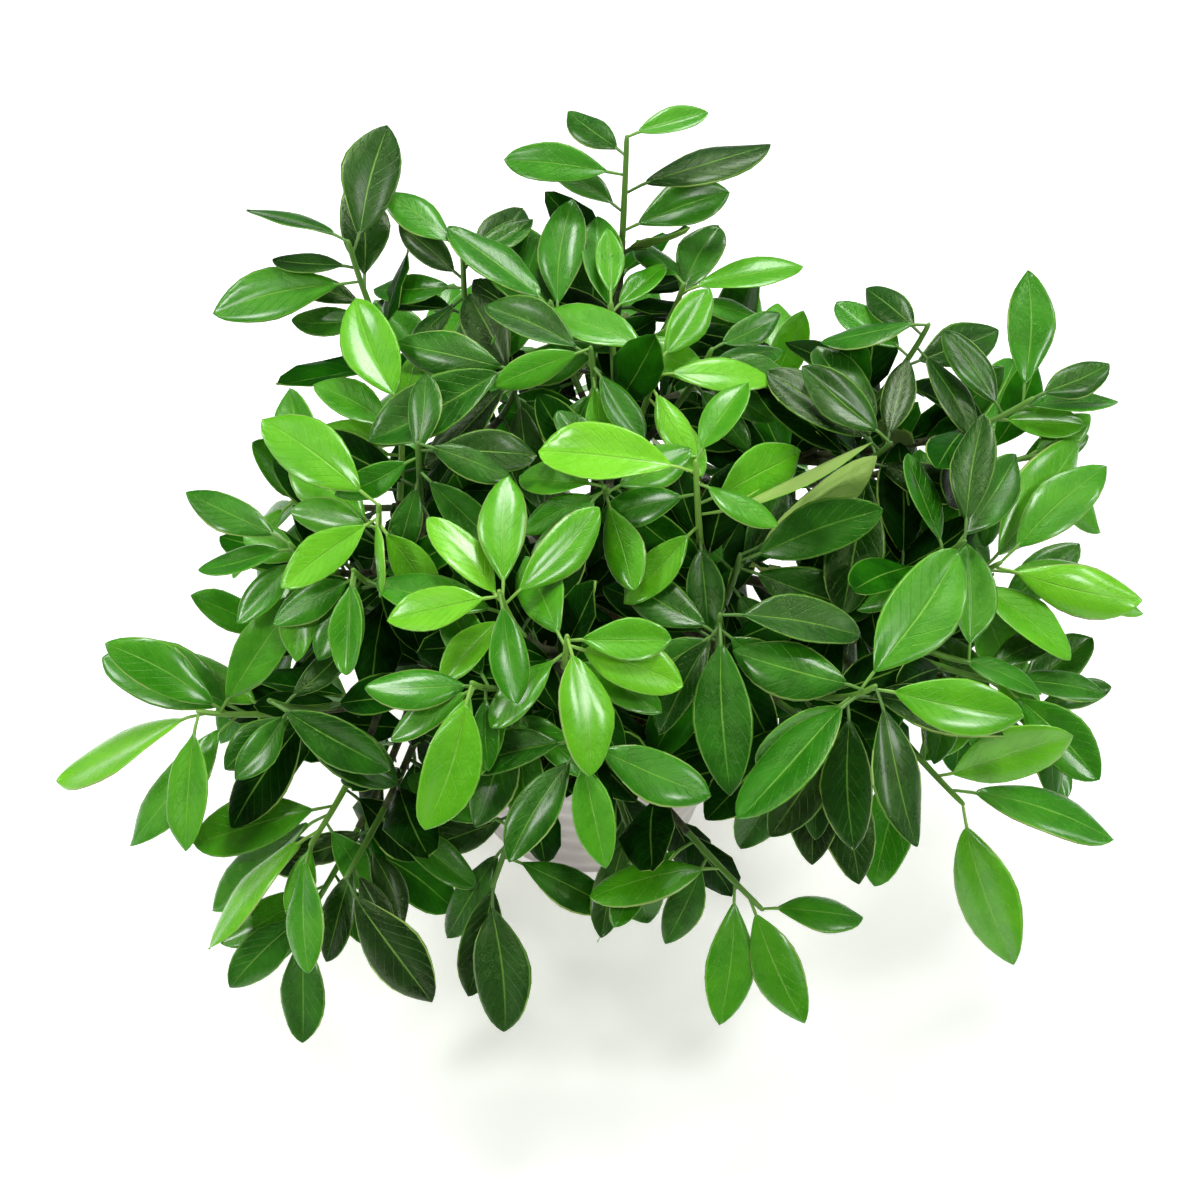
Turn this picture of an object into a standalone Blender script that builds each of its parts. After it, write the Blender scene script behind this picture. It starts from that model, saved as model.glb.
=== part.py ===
"""Potted calamondin tree: a hooped pot with soil, a trunk with its boughs and bare twigs, and leafy shoots.

Metres, +Z up. The origin is the middle of the pot's base, and -Y is the front of the plant.
"""

import collections
import math
import random

import bmesh
import bpy
from mathutils import Vector
from mathutils.bvhtree import BVHTree

MM = 0.001
UP = Vector((0, 0, 1))
FLAT_ANGLE = math.radians(1)
CORNER = math.radians(35)

# Pot and soil
POT_HEIGHT = 115 * MM
POT_RIM_RADIUS = 79 * MM
POT_BASE_RADIUS = 56 * MM
POT_WALL = 4 * MM
POT_FLOOR = 5 * MM
RIM_BAND = 15 * MM
RIM_STEP = 3 * MM
HOOPS = 8
HOOP_DEPTH = 1.2 * MM
FOOT_RISE = 3 * MM
FOOT_BEVEL = 2 * MM
POT_SIDES = 24
DRAIN_HOLES = 4
DRAIN_RADIUS = 4 * MM
DRAIN_CIRCLE = 34 * MM
SEAT_GAP = 0.3 * MM
SOIL_TOP = 100 * MM
SOIL_BUMP = 1.5 * MM
SOIL_WAVE = 8 * MM
SOIL_RINGS = 4

# Wood
TRUNK_FOOT = 70 * MM
TRUNK_TOP = 186 * MM
TRUNK_RADIUS = 8 * MM
TRUNK_TOP_RADIUS = 3.6 * MM
BOUGH_RADIUS = 3.4 * MM
BOUGH_END_RADIUS = 2 * MM
TWIG_RADIUS = 1.9 * MM
STEM_RADIUS = 1.7 * MM
STEM_TIP_RADIUS = 1.3 * MM
STEM_END = 2 * MM
STEM_LEAD = 5 * MM
OLD_LEAVES = 2
OLD_SPACING = 9 * MM
LONG_TWIG = 90 * MM
LONG_STEM = 30 * MM
PATH_STEPS = 24
SAG = 0.2
BOUGH_PIECES = 4

# Leaves
BLADE_WIDTH = 0.47
BLADE_THICKNESS = 1.2 * MM
STALK_RADIUS = 0.6 * MM
STALK_SHARE = 0.17
SECTIONS = (0.32, 0.7)
CLEAR = 0.5 * MM
FLOOR_CLEAR = 12 * MM
TRIES = 60
TURN = math.radians(137.5)
LIT_DEPTH = 180 * MM

# Leaf headings are given as they are seen from the front, this far above the horizon.
SEEN_FROM = math.radians(44)
SEEN_RIGHT = Vector((1, 0, 0))
SEEN_UP = Vector((0, math.sin(SEEN_FROM), math.cos(SEEN_FROM)))
SEEN_NEAR = Vector((0, -math.cos(SEEN_FROM), math.sin(SEEN_FROM)))

# Bough: the height where it leaves the trunk, and its end, in millimetres.
BOUGHS = {
    "back": (176, (12, 45, 245)),
    "back_left": (166, (-70, 20, 235)),
    "left": (152, (-95, -60, 212)),
    "front_left": (140, (-90, -110, 180)),
    "front": (156, (-12, -110, 205)),
    "front_right": (146, (75, -105, 190)),
    "right": (160, (112, -60, 195)),
    "back_right": (170, (105, 10, 220)),
    "middle": (180, (15, -25, 248)),
    "rear_left": (142, (-65, 75, 160)),
    "rear_right": (148, (55, 80, 165)),
}

# The seen shoots and leaves stand where the eye finds their tips in a square view. These are its size and
# focal length in pixels, how far away the eye is, and the point that it looks at.
VIEW_SIZE = 1200
VIEW_FOCAL = 2708
VIEW_DISTANCE = 1.3
VIEW_AIM = Vector((0.0062, 0, 0.1368))
VIEW_EYE = VIEW_AIM + SEEN_NEAR * VIEW_DISTANCE

# A leaf's tip lies this many blade lengths from its stalk's root. Blades are between these lengths, in
# millimetres.
LEAF_REACH = 1.14
SHORTEST_LEAF = 34
LONGEST_LEAF = 70

# Seen shoot: its bough, how far along the bough it starts, the pixels right and down where its tip shows, how
# far back the tip stands and the length of its leafy part in millimetres, and its leaves from the lowest up.
# A leaf is the pixels right and down where its tip shows, and if need be its lean toward the viewer and its
# roll in degrees.
SEEN_SHOOTS = {
    "top": ("back", 1.0, 627, 133, 60, 50, (
        (730, 191), (550, 163, -25, -20), (771, 143, None, 8), (506, 158, -10, -40), (582, 118, -30),
        (706, 112, None, 15))),
    "high_left": ("middle", 0.9, 550, 298, 15, 22, (
        (466, 281, -20), (499, 215, -38), (574, 197, -20), (431, 258, -30), (505, 352, 5))),
    "high_middle": ("middle", 1.0, 611, 300, 10, 20, (
        (511, 375), (714, 371), (600, 214, -35), (664, 262, -35), (607, 226, -30))),
    "high_front": ("middle", 1.0, 660, 350, -15, 25, (
        (700, 480, 15), (690, 452, 15), (775, 384), (708, 285, -25), (544, 309))),
    "high_front_left": ("middle", 0.8, 590, 345, -20, 22, (
        (575, 430), (600, 460), (643, 440), (484, 304), (492, 381))),
    "right_top": ("back", 0.8, 684, 282, 30, 22, (
        (638, 390), (720, 222, -30), (768, 326), (803, 266), (640, 240, -40))),
    "right_top_low": ("middle", 0.7, 712, 346, 0, 20, (
        (740, 440), (772, 420), (783, 350, -30), (786, 385, 5), (779, 312, -25))),
    "upper_left": ("back_left", 1.0, 347, 238, 32, 44, (
        (298, 320), (300, 285, -10), (352, 178, -30), (211, 313, None, -22), (290, 262, None, 10),
        (381, 121, -20, 45), (244, 210, None, 35))),
    "back_left_high": ("back_left", 0.8, 463, 250, 40, 24, (
        (420, 345), (372, 285, -30), (425, 246, -10), (520, 200, -40), (500, 238, -20), (382, 190))),
    "dark_left": ("back_left", 0.8, 522, 362, -25, 26, (
        (600, 449), (540, 509), (470, 290, -30), (430, 470), (398, 342), (366, 445))),
    "bright_left": ("left", 0.9, 401, 410, -40, 24, (
        (322, 455), (322, 430), (311, 385), (421, 344, -40), (352, 295))),
    "left": ("left", 1.0, 378, 503, -95, 24, (
        (285, 455, -25), (290, 510, -15), (434, 600), (271, 579), (368, 598, 0, 45), (259, 419))),
    "left_low": ("left", 0.9, 288, 541, -106, 26, (
        (245, 535, -30), (298, 660), (250, 610), (199, 573), (182, 493))),
    "left_inner": ("left", 0.8, 352, 568, -115, 20, (
        (445, 620), (320, 660), (275, 625), (352, 617), (347, 674))),
    "far_left": ("front_left", 1.0, 195, 712, -135, 34, (
        (160, 655), (262, 790), (95, 660), (132, 850, None, 10), (108, 645, 10), (302, 597, 15, 15),
        (52, 791, -14, 40), (186, 853, None, 25))),
    "left_under": ("front_left", 0.9, 268, 700, -150, 24, (
        (225, 770), (240, 775), (335, 655, -20), (394, 787, -10), (390, 770))),
    "low_left": ("front_left", 1.0, 308, 848, -172, 24, (
        (193, 845), (188, 905, None, 30), (360, 890), (212, 955, None, 40), (285, 918, 10),
        (318, 970, 15, 40))),
    "low_left_tip": ("front_left", 0.85, 305, 922, -182, 26, (
        (360, 915), (222, 945), (285, 985), (238, 1005), (307, 1042))),
    "hang_left": ("front_left", 0.75, 343, 880, -188, 40, (
        (472, 889), (290, 860), (395, 905), (330, 960), (385, 945), (435, 1000))),
    "hang_front": ("front", 0.8, 492, 890, -178, 44, (
        (520, 700), (415, 850), (400, 790), (420, 940), (614, 913), (458, 1002), (508, 1030))),
    "low_right": ("front", 0.9, 765, 912, -192, 44, (
        (603, 952, -18, 60), (668, 945, -18), (590, 901, 8, 30), (716, 1024), (803, 1021),
        (863, 923, -15))),
    "centre": ("front", 1.0, 567, 634, -162, 22, (
        (660, 712), (494, 730), (525, 560, -45), (683, 687), (673, 642), (586, 777))),
    "centre_left": ("front", 0.9, 499, 590, -142, 24, (
        (375, 585), (455, 670), (424, 520), (596, 506), (507, 477), (389, 623), (516, 702))),
    "front_low": ("front", 0.95, 582, 748, -192, 22, (
        (482, 700), (465, 770), (710, 798), (512, 861), (606, 867))),
    "front_left_mid": ("front", 0.9, 470, 682, -173, 24, (
        (445, 600, -20), (510, 770), (368, 690, 10), (390, 740), (440, 770), (425, 827))),
    "front_left_low": ("front", 0.8, 515, 714, -170, 22, (
        (440, 770), (535, 828), (478, 826), (556, 748), (460, 772))),
    "crown": ("front_right", 0.8, 695, 459, -83, 44, (
        (706, 630), (627, 606), (868, 437, 0, 110), (869, 462, None, 35), (585, 508), (767, 524, 8),
        (537, 453), (750, 384, -15))),
    "crown_left": ("middle", 0.8, 604, 486, -90, 24, (
        (663, 592), (689, 447, -30), (557, 411, -30), (530, 530), (534, 573), (495, 436))),
    "centre_right": ("front_right", 0.8, 720, 612, -130, 24, (
        (626, 581), (630, 690), (800, 690), (660, 734), (733, 797), (860, 640))),
    "right_front": ("front_right", 1.0, 878, 684, -160, 30, (
        (1040, 738, -12, -30), (853, 850), (757, 762), (964, 552), (741, 819, 14, 40), (737, 654),
        (1027, 719), (913, 846))),
    "right_under": ("front_right", 0.85, 838, 738, -160, 24, (
        (858, 885), (745, 850, -20), (800, 868, -10), (815, 840), (768, 835, 5))),
    "right_low": ("right", 0.9, 966, 806, -165, 42, (
        (873, 886), (900, 660, 0, 60), (1068, 720, 22, 30), (1114, 848, None, -25),
        (1017, 961, None, 50))),
    "right_mid": ("right", 0.9, 1008, 684, -120, 26, (
        (920, 764), (985, 755), (1068, 640), (1060, 740), (1106, 700), (1099, 778, None, 30))),
    "right": ("right", 1.0, 1003, 560, -75, 26, (
        (925, 450, -20), (1062, 664, 15), (1040, 690), (1085, 435, None, 30), (1163, 626, -20),
        (1145, 598, None, 30), (1115, 466))),
    "right_inner": ("right", 0.8, 968, 540, -85, 24, (
        (870, 603), (906, 455, -10, 30), (1020, 455, -20), (992, 413, -20))),
    "right_mid_inner": ("right", 0.8, 972, 664, -118, 22, (
        (880, 689), (1037, 710), (968, 545, -15))),
    "upper_right": ("back_right", 1.0, 1036, 397, -15, 30, (
        (920, 490), (1086, 425), (941, 333, 5), (1120, 404), (1031, 269, -10), (1111, 364))),
    "right_edge": ("back_right", 0.9, 1052, 452, -25, 24, (
        (984, 540), (1062, 445, -20), (1055, 440), (1126, 530), (1137, 468))),
    "high_back_right": ("back_right", 0.9, 931, 322, 10, 28, (
        (1003, 326, -30), (842, 300, -30), (970, 436), (873, 285, -40), (824, 345))),
    "inner_right": ("back_right", 0.8, 893, 442, -50, 26, (
        (972, 500), (842, 618), (820, 345, -30), (768, 374), (912, 358, -25), (806, 364))),
    "inner_middle": ("front_right", 0.7, 740, 552, -80, 26, (
        (640, 600), (780, 660), (785, 480, -20), (650, 504), (878, 612), (880, 510, 10),
        (906, 468, 0, 125))),
    "inner_left": ("left", 0.8, 418, 440, -75, 24, (
        (395, 560), (500, 545), (426, 372, -20), (344, 490), (535, 455), (510, 480))),
    "hang_middle": ("front", 0.7, 640, 860, -165, 30, (
        (668, 943), (600, 940), (640, 950))),
    "right_far_low": ("right", 0.85, 1045, 710, -110, 26, (
        (920, 760), (930, 640), (1095, 640), (1062, 800), (1104, 690), (1042, 800))),
}

# Hidden shoot: its bough, how far along the bough it starts, its tip and the length of its leafy part in
# millimetres, and how many leaves stand round it in a spiral.
HIDDEN_SHOOTS = {
    "rear_high_left": ("back_left", 0.9, (-70, 75, 225), 30, 7),
    "rear_high": ("back", 0.9, (-5, 85, 225), 30, 7),
    "rear_high_right": ("back", 0.7, (72, 75, 222), 30, 7),
    "rear": ("rear_right", 0.8, (10, 135, 165), 30, 7),
    "rear_left": ("rear_left", 1.0, (-80, 130, 160), 30, 7),
    "rear_right": ("rear_right", 1.0, (100, 115, 175), 30, 7),
    "rear_left_low": ("rear_left", 0.8, (-35, 165, 115), 30, 7),
    "rear_right_low": ("rear_right", 0.9, (60, 165, 115), 30, 7),
    "side_left": ("rear_left", 0.8, (-145, 45, 160), 30, 7),
    "side_left_low": ("left", 0.6, (-150, -40, 150), 30, 7),
    "side_right": ("back_right", 0.7, (180, 50, 190), 30, 7),
    "side_right_low": ("right", 0.7, (190, -30, 150), 30, 7),
}

# A leaf's cage: rings of three points round its stalk's root and end, at two places of the blade, and
# its tip.
RINGS = 4
LEAF_FACES = [(0, 1, 2)]
for ring in range(RINGS - 1):
    for side in range(3):
        near, beside = 3 * ring + side, 3 * ring + (side + 1) % 3
        LEAF_FACES += [(near, near + 3, beside), (beside, near + 3, beside + 3)]
LEAF_FACES += [(3 * RINGS - 3 + side, 3 * RINGS, 3 * RINGS - 3 + (side + 1) % 3) for side in range(3)]
BLADE_FACES = LEAF_FACES[7:]

Leaf = collections.namedtuple("Leaf", "root base along face side length width arch")


def random_for(name):
    """A random source of its own for each named piece, so that one change doesn't move the others."""
    return random.Random(name)


def bend(start, control, end, t):
    """Point of a quadratic curve."""
    return start * (1 - t) ** 2 + control * 2 * t * (1 - t) + end * t**2


def trunk_point(height):
    """The trunk's middle line leans and bends a little."""
    rise = (height - TRUNK_FOOT) / (TRUNK_TOP - TRUNK_FOOT)
    return Vector((5 * MM * math.sin(2.6 * rise), 4 * MM * math.sin(3.4 * rise), height))


def bough_path(name):
    height, end = BOUGHS[name]
    start = trunk_point(height * MM)
    end = Vector(end) * MM
    rise = end.z - start.z
    control = Vector((0.45 * end.x, 0.45 * end.y, start.z + 0.75 * rise))
    return [bend(start, control, end, step / PATH_STEPS) for step in range(PATH_STEPS + 1)]


def bough_points(name):
    """The points that the bough's tube runs through."""
    return bough_path(name)[:: PATH_STEPS // BOUGH_PIECES]


def twig_path(bough, fork, tip):
    """From the bough, out and then up to a tip above it, or down and then out to a tip below it."""
    path = bough_path(bough)
    start = path[round(fork * PATH_STEPS)]
    way = tip - start
    if way.z > 10 * MM:
        control = Vector((start.x + 0.7 * way.x, start.y + 0.7 * way.y, start.z + 0.35 * way.z))
    else:
        control = start + 0.3 * way - UP * SAG * way.length
    return [bend(start, control, tip, step / PATH_STEPS) for step in range(PATH_STEPS + 1)]


def point_from_tip(path, distance):
    """Place and heading on the path at this distance before its end."""
    for near, far in zip(path[::-1], path[-2::-1]):
        step = (near - far).length
        if distance <= step:
            return near.lerp(far, distance / step), (near - far).normalized()
        distance -= step
    return path[0], (path[1] - path[0]).normalized()


def stem_points(path, leafy, count=3):
    """Points of a shoot's own leafy stem, from its foot to its tip."""
    return [point_from_tip(path, leafy * (1 - step / (count - 1)))[0] for step in range(count)]


def twig_points(path, leafy):
    """Points of the bare twig, from inside the bough to the gap before the shoot."""
    count = 4 if (path[-1] - path[0]).length > LONG_TWIG else 3
    whole = sum((b - a).length for a, b in zip(path, path[1:]))
    end = leafy + SEAT_GAP
    return [point_from_tip(path, whole + (end - whole) * step / (count - 1))[0] for step in range(count)]


def tube_mesh(name, points, radii, sides=4):
    """A closed tube through the points: a bevelled curve made a mesh, with its caps welded on."""
    curve = bpy.data.curves.new(name, "CURVE")
    curve.dimensions = "3D"
    curve.bevel_depth = 1
    curve.bevel_resolution = sides // 2 - 2
    curve.use_fill_caps = True
    spline = curve.splines.new("POLY")
    spline.points.add(len(points) - 1)
    for slot, point, radius in zip(spline.points, points, radii):
        slot.co = (*point, 1)
        slot.radius = radius
    guide = bpy.data.objects.new(name, curve)
    bpy.context.scene.collection.objects.link(guide)
    graph = bpy.context.evaluated_depsgraph_get()
    mesh = bpy.data.meshes.new_from_object(guide.evaluated_get(graph))
    mesh.transform(guide.matrix_world)
    shape = bmesh.new()
    shape.from_mesh(mesh)
    bmesh.ops.remove_doubles(shape, verts=shape.verts, dist=0.01 * MM)
    bmesh.ops.recalc_face_normals(shape, faces=shape.faces)
    shape.to_mesh(mesh)
    shape.free()
    bpy.data.objects.remove(guide)
    bpy.data.curves.remove(curve)
    return mesh


def half_width(t):
    """Half the blade's width at t from its base to its tip, as a share of its full width."""
    return 0.5 * math.sin(math.pi * t) ** 0.7


def midrib(leaf, t):
    """Place, heading and upper face of the midrib, an arc from the blade's base at 0 to its tip at 1."""
    first = leaf.arch / 2
    now = first - leaf.arch * t
    radius = leaf.length / leaf.arch
    ahead = radius * (math.sin(first) - math.sin(now))
    above = radius * (math.cos(now) - math.cos(first))
    place = leaf.base + leaf.along * ahead + leaf.face * above
    heading = leaf.along * math.cos(now) + leaf.face * math.sin(now)
    return place, heading, leaf.face * math.cos(now) - leaf.along * math.sin(now)


def leaf_points(leaf, grow=0.0):
    """Points of a leaf's cage: a three-sided stalk, then a thin blade with a keel under its midrib."""
    _, _, face = midrib(leaf, 0)
    points = []
    for place in (leaf.root, leaf.base):
        for angle in (30, 150, 270):
            turn = math.radians(angle)
            offset = leaf.side * math.cos(turn) + face * math.sin(turn)
            points.append(place + offset * (STALK_RADIUS + grow))
    for t in SECTIONS:
        place, _, face = midrib(leaf, t)
        reach = leaf.side * (leaf.width * half_width(t) + grow)
        points += [place + reach + face * grow, place - reach + face * grow]
        points.append(place - face * (BLADE_THICKNESS + grow))
    place, heading, _ = midrib(leaf, 1)
    points.append(place + heading * grow)
    return points


def default_lean(clock):
    """Leaves to the side and away droop from the viewer a little, and leaves toward the viewer hang."""
    return math.radians(-12 + 14 * max(0, -math.sin(clock)) - 10 * max(0, math.sin(clock)))


def seen_heading(clock, lean):
    flat = SEEN_RIGHT * math.cos(clock) + SEEN_UP * math.sin(clock)
    return flat * math.cos(lean) + SEEN_NEAR * math.sin(lean)


def spiral_heading(stem, number, draw):
    """Leaves turn round the stem, close to it at its tip and far from it lower down, and bow a little."""
    across = stem.orthogonal().normalized()
    around = stem.cross(across)
    turn = TURN * number + draw.uniform(-0.3, 0.3)
    tilt = math.radians(min(88, 45 + 7 * number) + draw.uniform(-8, 8))
    outward = across * math.cos(turn) + around * math.sin(turn)
    heading = stem * math.cos(tilt) + outward * math.sin(tilt)
    return (heading - UP * draw.uniform(0.1, 0.4)).normalized()


def make_leaf(root, heading, length, roll, draw):
    """A leaf whose upper face turns to the light: above, outward and, but at the back, to the front."""
    front = min(max((LIT_DEPTH - root.y) / LIT_DEPTH, 0), 1)
    light = UP + 0.35 * Vector((root.x, root.y, 0)).normalized() + 0.7 * front * SEEN_NEAR
    face = (light - heading * light.dot(heading)).normalized()
    side = heading.cross(face)
    face = face * math.cos(roll) + side * math.sin(roll)
    side = heading.cross(face)
    arch = math.radians(draw.uniform(12, 26) + 300 * length)
    first = heading * math.cos(arch / 2) + face * math.sin(arch / 2)
    base = root + first * length * STALK_SHARE
    width = length * BLADE_WIDTH * draw.uniform(0.86, 1.14)
    return Leaf(root, base, heading, face, side, length, width, arch)


def leaf_places(leaves, leafy):
    """How far each leaf stands before the stem's tip: the given ones from the lowest up, then older ones."""
    if isinstance(leaves, int):
        return [STEM_END + (leafy - STEM_END) * number / (leaves - 1) for number in range(leaves)]
    count = len(leaves)
    places = [STEM_END + (leafy - STEM_END) * (1 - number / (count - 1)) for number in range(count)]
    old = OLD_LEAVES if leafy <= LONG_STEM else 0
    return places + [leafy + OLD_SPACING * (number + 1) for number in range(old)]


def leafy_length(name):
    """Length of a shoot's own stem, from its foot to its tip."""
    leafy, leaves = SHOOTS[name][3:]
    return max(leaf_places(leaves, leafy * MM)) + STEM_LEAD


def in_view(point):
    """Where a point shows in the view, in pixels right and down, and how far it is from the eye."""
    away = point - VIEW_EYE
    depth = -away.dot(SEEN_NEAR)
    right = VIEW_SIZE / 2 + VIEW_FOCAL * away.dot(SEEN_RIGHT) / depth
    down = VIEW_SIZE / 2 - VIEW_FOCAL * away.dot(SEEN_UP) / depth
    return right, down, depth


def from_view(right, down, back):
    """The point that shows at these pixels and stands this far back."""
    across = SEEN_RIGHT * ((right - VIEW_SIZE / 2) / VIEW_FOCAL)
    upward = SEEN_UP * ((VIEW_SIZE / 2 - down) / VIEW_FOCAL)
    ray = across + upward - SEEN_NEAR
    return VIEW_EYE + ray * ((back - VIEW_EYE.y) / ray.y)


def aimed_leaf(root, right, down, lean=None, roll=None):
    """A leaf's heading, length and, where given, lean and roll, in whole degrees and millimetres."""
    root_right, root_down, depth = in_view(root)
    clock = math.atan2(root_down - down, right - root_right)
    used = default_lean(clock) if lean is None else math.radians(lean)
    seen = math.hypot(down - root_down, right - root_right) * depth / VIEW_FOCAL
    length = round(seen / math.cos(used) / LEAF_REACH / MM)
    leaf = (round(math.degrees(clock)), min(max(length, SHORTEST_LEAF), LONGEST_LEAF))
    if roll is not None:
        return (*leaf, round(math.degrees(used)) if lean is None else lean, roll)
    return leaf if lean is None else (*leaf, lean)


def placed_shoot(bough, fork, right, down, back, leafy, leaves):
    """A seen shoot in millimetres and degrees: its bough, fork, tip, leafy length and leaves."""
    tip = tuple(round(value / MM) for value in from_view(right, down, back * MM))
    path = twig_path(bough, fork, Vector(tip) * MM)
    places = leaf_places(leaves, leafy * MM)
    aimed = [aimed_leaf(point_from_tip(path, place)[0], *leaf) for place, leaf in zip(places, leaves)]
    return bough, fork, tip, leafy, tuple(aimed)


SHOOTS = {name: placed_shoot(*row) for name, row in SEEN_SHOOTS.items()} | HIDDEN_SHOOTS


class Crown:
    """What has been placed so far, to keep each new piece clear of it."""

    def __init__(self):
        self.leaves = []
        self.wood = []

    def add_wood(self, owner, points, radius, leafy):
        for near, far in zip(points, points[1:]):
            steps = max(1, math.ceil((far - near).length / (2 * MM)))
            for step in range(steps):
                self.wood.append((near.lerp(far, step / steps), radius, owner, leafy))
        self.wood.append((points[-1], radius, owner, leafy))

    def wood_is_clear(self, points, radius, leafy):
        """A leafy stem keeps clear of all wood, and a bare twig of the leafy stems."""
        samples = [near.lerp(far, step / 8) for near, far in zip(points, points[1:]) for step in range(9)]
        for place, other, _, other_leafy in self.wood:
            if not (leafy or other_leafy):
                continue
            reach = radius + other + CLEAR
            if any((sample - place).length < reach for sample in samples):
                return False
        return True

    def leaf_is_clear(self, owner, leaf):
        points = leaf_points(leaf, CLEAR)
        if any(inside_pot(point) for point in points):
            return False
        middle = midrib(leaf, 0.4)[0]
        reach = 0.75 * leaf.length
        whole = BVHTree.FromPolygons(points, LEAF_FACES)
        blade = BVHTree.FromPolygons(points, BLADE_FACES)
        for place, radius, other, leafy in self.wood:
            if (place - middle).length > reach:
                continue
            own = owner == other and leafy
            if (blade if own else whole).find_nearest(place, radius + CLEAR)[0] is not None:
                return False
        for other, centre, size, tree, other_blade in self.leaves:
            if (centre - middle).length > reach + size:
                continue
            if other == owner and blade.overlap(other_blade):
                return False
            if other != owner and whole.overlap(tree):
                return False
        return True

    def add_leaf(self, owner, leaf):
        points = leaf_points(leaf)
        whole = BVHTree.FromPolygons(points, LEAF_FACES)
        blade = BVHTree.FromPolygons(points, BLADE_FACES)
        reach = 0.75 * leaf.length
        self.leaves.append((owner, midrib(leaf, 0.4)[0], reach, whole, blade))


def inside_pot(point):
    """Whether a point is inside the pot's outline, near it, or too near the floor."""
    if point.z < FLOOR_CLEAR:
        return True
    if point.z > POT_HEIGHT + 4 * MM:
        return False
    share = min(max(point.z / POT_HEIGHT, 0), 1)
    radius = POT_BASE_RADIUS + (POT_RIM_RADIUS - POT_BASE_RADIUS) * share
    return math.hypot(point.x, point.y) < radius + 6 * MM


def grow_shoot(crown, name):
    """Finds a clear path for a shoot's twig and stem, and then a clear place for each of its leaves."""
    bough, fork, tip = SHOOTS[name][:3]
    leafy = leafy_length(name)
    draw = random_for(name)
    path = twig_path(bough, fork, Vector(tip) * MM)
    for attempt in range(TRIES):
        stem, twig = stem_points(path, leafy), twig_points(path, leafy)
        if crown.wood_is_clear(stem, STEM_RADIUS, True) and crown.wood_is_clear(twig, TWIG_RADIUS, False):
            break
        shift = Vector([draw.uniform(-1, 1) for _ in range(3)]) * attempt * 0.5 * MM
        path = twig_path(bough, fork, Vector(tip) * MM + shift)
    crown.add_wood(name, twig, TWIG_RADIUS, False)
    crown.add_wood(name, stem, STEM_RADIUS, True)
    return path, stem, twig


def choose_leaf(name, number, root, stem, loose, draw):
    """A leaf as listed or in the spiral; the looser, the further it may stray to find a clear place."""
    leaves = SHOOTS[name][4]
    if isinstance(leaves, tuple) and number < len(leaves):
        clock, length, *rest = leaves[number]
        clock = math.radians(clock + draw.uniform(-50, 50) * loose)
        lean = math.radians(rest[0]) if rest else default_lean(clock)
        roll = math.radians(rest[1]) if len(rest) > 1 else math.radians(draw.uniform(-25, 25))
        heading = seen_heading(clock, lean + math.radians(draw.uniform(-75, 75) * loose))
    else:
        length = draw.uniform(42, 58)
        roll = math.radians(draw.uniform(-15, 15))
        heading = spiral_heading(stem, number, draw)
    roll += math.radians(draw.uniform(-70, 70) * loose)
    return make_leaf(root, heading, length * MM * (1 - 0.25 * loose), roll, draw)


def grow_leaves(crown, name, path, old):
    """The shoot's young leaves, or the old ones below them."""
    leafy, leaves = SHOOTS[name][3:]
    young = leaves if isinstance(leaves, int) else len(leaves)
    grown = []
    for number, distance in enumerate(leaf_places(leaves, leafy * MM)):
        if (number >= young) != old:
            continue
        root, stem = point_from_tip(path, distance)
        draw = random_for(f"{name} {number}")
        for attempt in range(TRIES):
            leaf = choose_leaf(name, number, root, stem, attempt / TRIES, draw)
            if crown.leaf_is_clear(name, leaf):
                crown.add_leaf(name, leaf)
                grown.append(leaf)
                break
    return grown


def leaf_mesh(name, leaf):
    mesh = bpy.data.meshes.new(name)
    mesh.from_pydata(leaf_points(leaf), [], LEAF_FACES)
    shape = bmesh.new()
    shape.from_mesh(mesh)
    bmesh.ops.triangulate(shape, faces=shape.faces)
    bmesh.ops.recalc_face_normals(shape, faces=shape.faces)
    shape.to_mesh(mesh)
    shape.free()
    return mesh


def finish(name, colour, roughness):
    """A plain material of this colour, given as linear red, green and blue."""
    material = bpy.data.materials.new(name)
    material.use_nodes = True
    shader = material.node_tree.nodes["Principled BSDF"]
    shader.inputs["Base Color"].default_value = (*colour, 1)
    shader.inputs["Roughness"].default_value = roughness
    material.diffuse_color = (*colour, 1)
    return material


def add_piece(name, mesh, collection, material):
    piece = bpy.data.objects.new(name, mesh)
    collection.objects.link(piece)
    mesh.materials.clear()
    mesh.materials.append(material)
    return piece


def shell_of(vertex):
    """All vertices that edges link to this one."""
    found = {vertex}
    waiting = [vertex]
    while waiting:
        for edge in waiting.pop().link_edges:
            for other in edge.verts:
                if other not in found:
                    found.add(other)
                    waiting.append(other)
    return found


def apply_modifiers(piece):
    """Makes the piece's modified shape its mesh, without scraps, sealed hollows or splits in flat faces."""
    graph = bpy.context.evaluated_depsgraph_get()
    mesh = bpy.data.meshes.new_from_object(piece.evaluated_get(graph))
    shape = bmesh.new()
    shape.from_mesh(mesh)
    left = set(shape.verts)
    shells = []
    while left:
        shells.append(shell_of(next(iter(left))))
        left -= shells[-1]
    shells.sort(key=len)
    bmesh.ops.delete(shape, geom=[vertex for shell in shells[:-1] for vertex in shell], context="VERTS")
    bmesh.ops.dissolve_limit(shape, angle_limit=FLAT_ANGLE, verts=shape.verts, edges=shape.edges)
    bmesh.ops.triangulate(shape, faces=shape.faces)
    shape.to_mesh(mesh)
    shape.free()
    piece.modifiers.clear()
    piece.data = mesh


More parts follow.
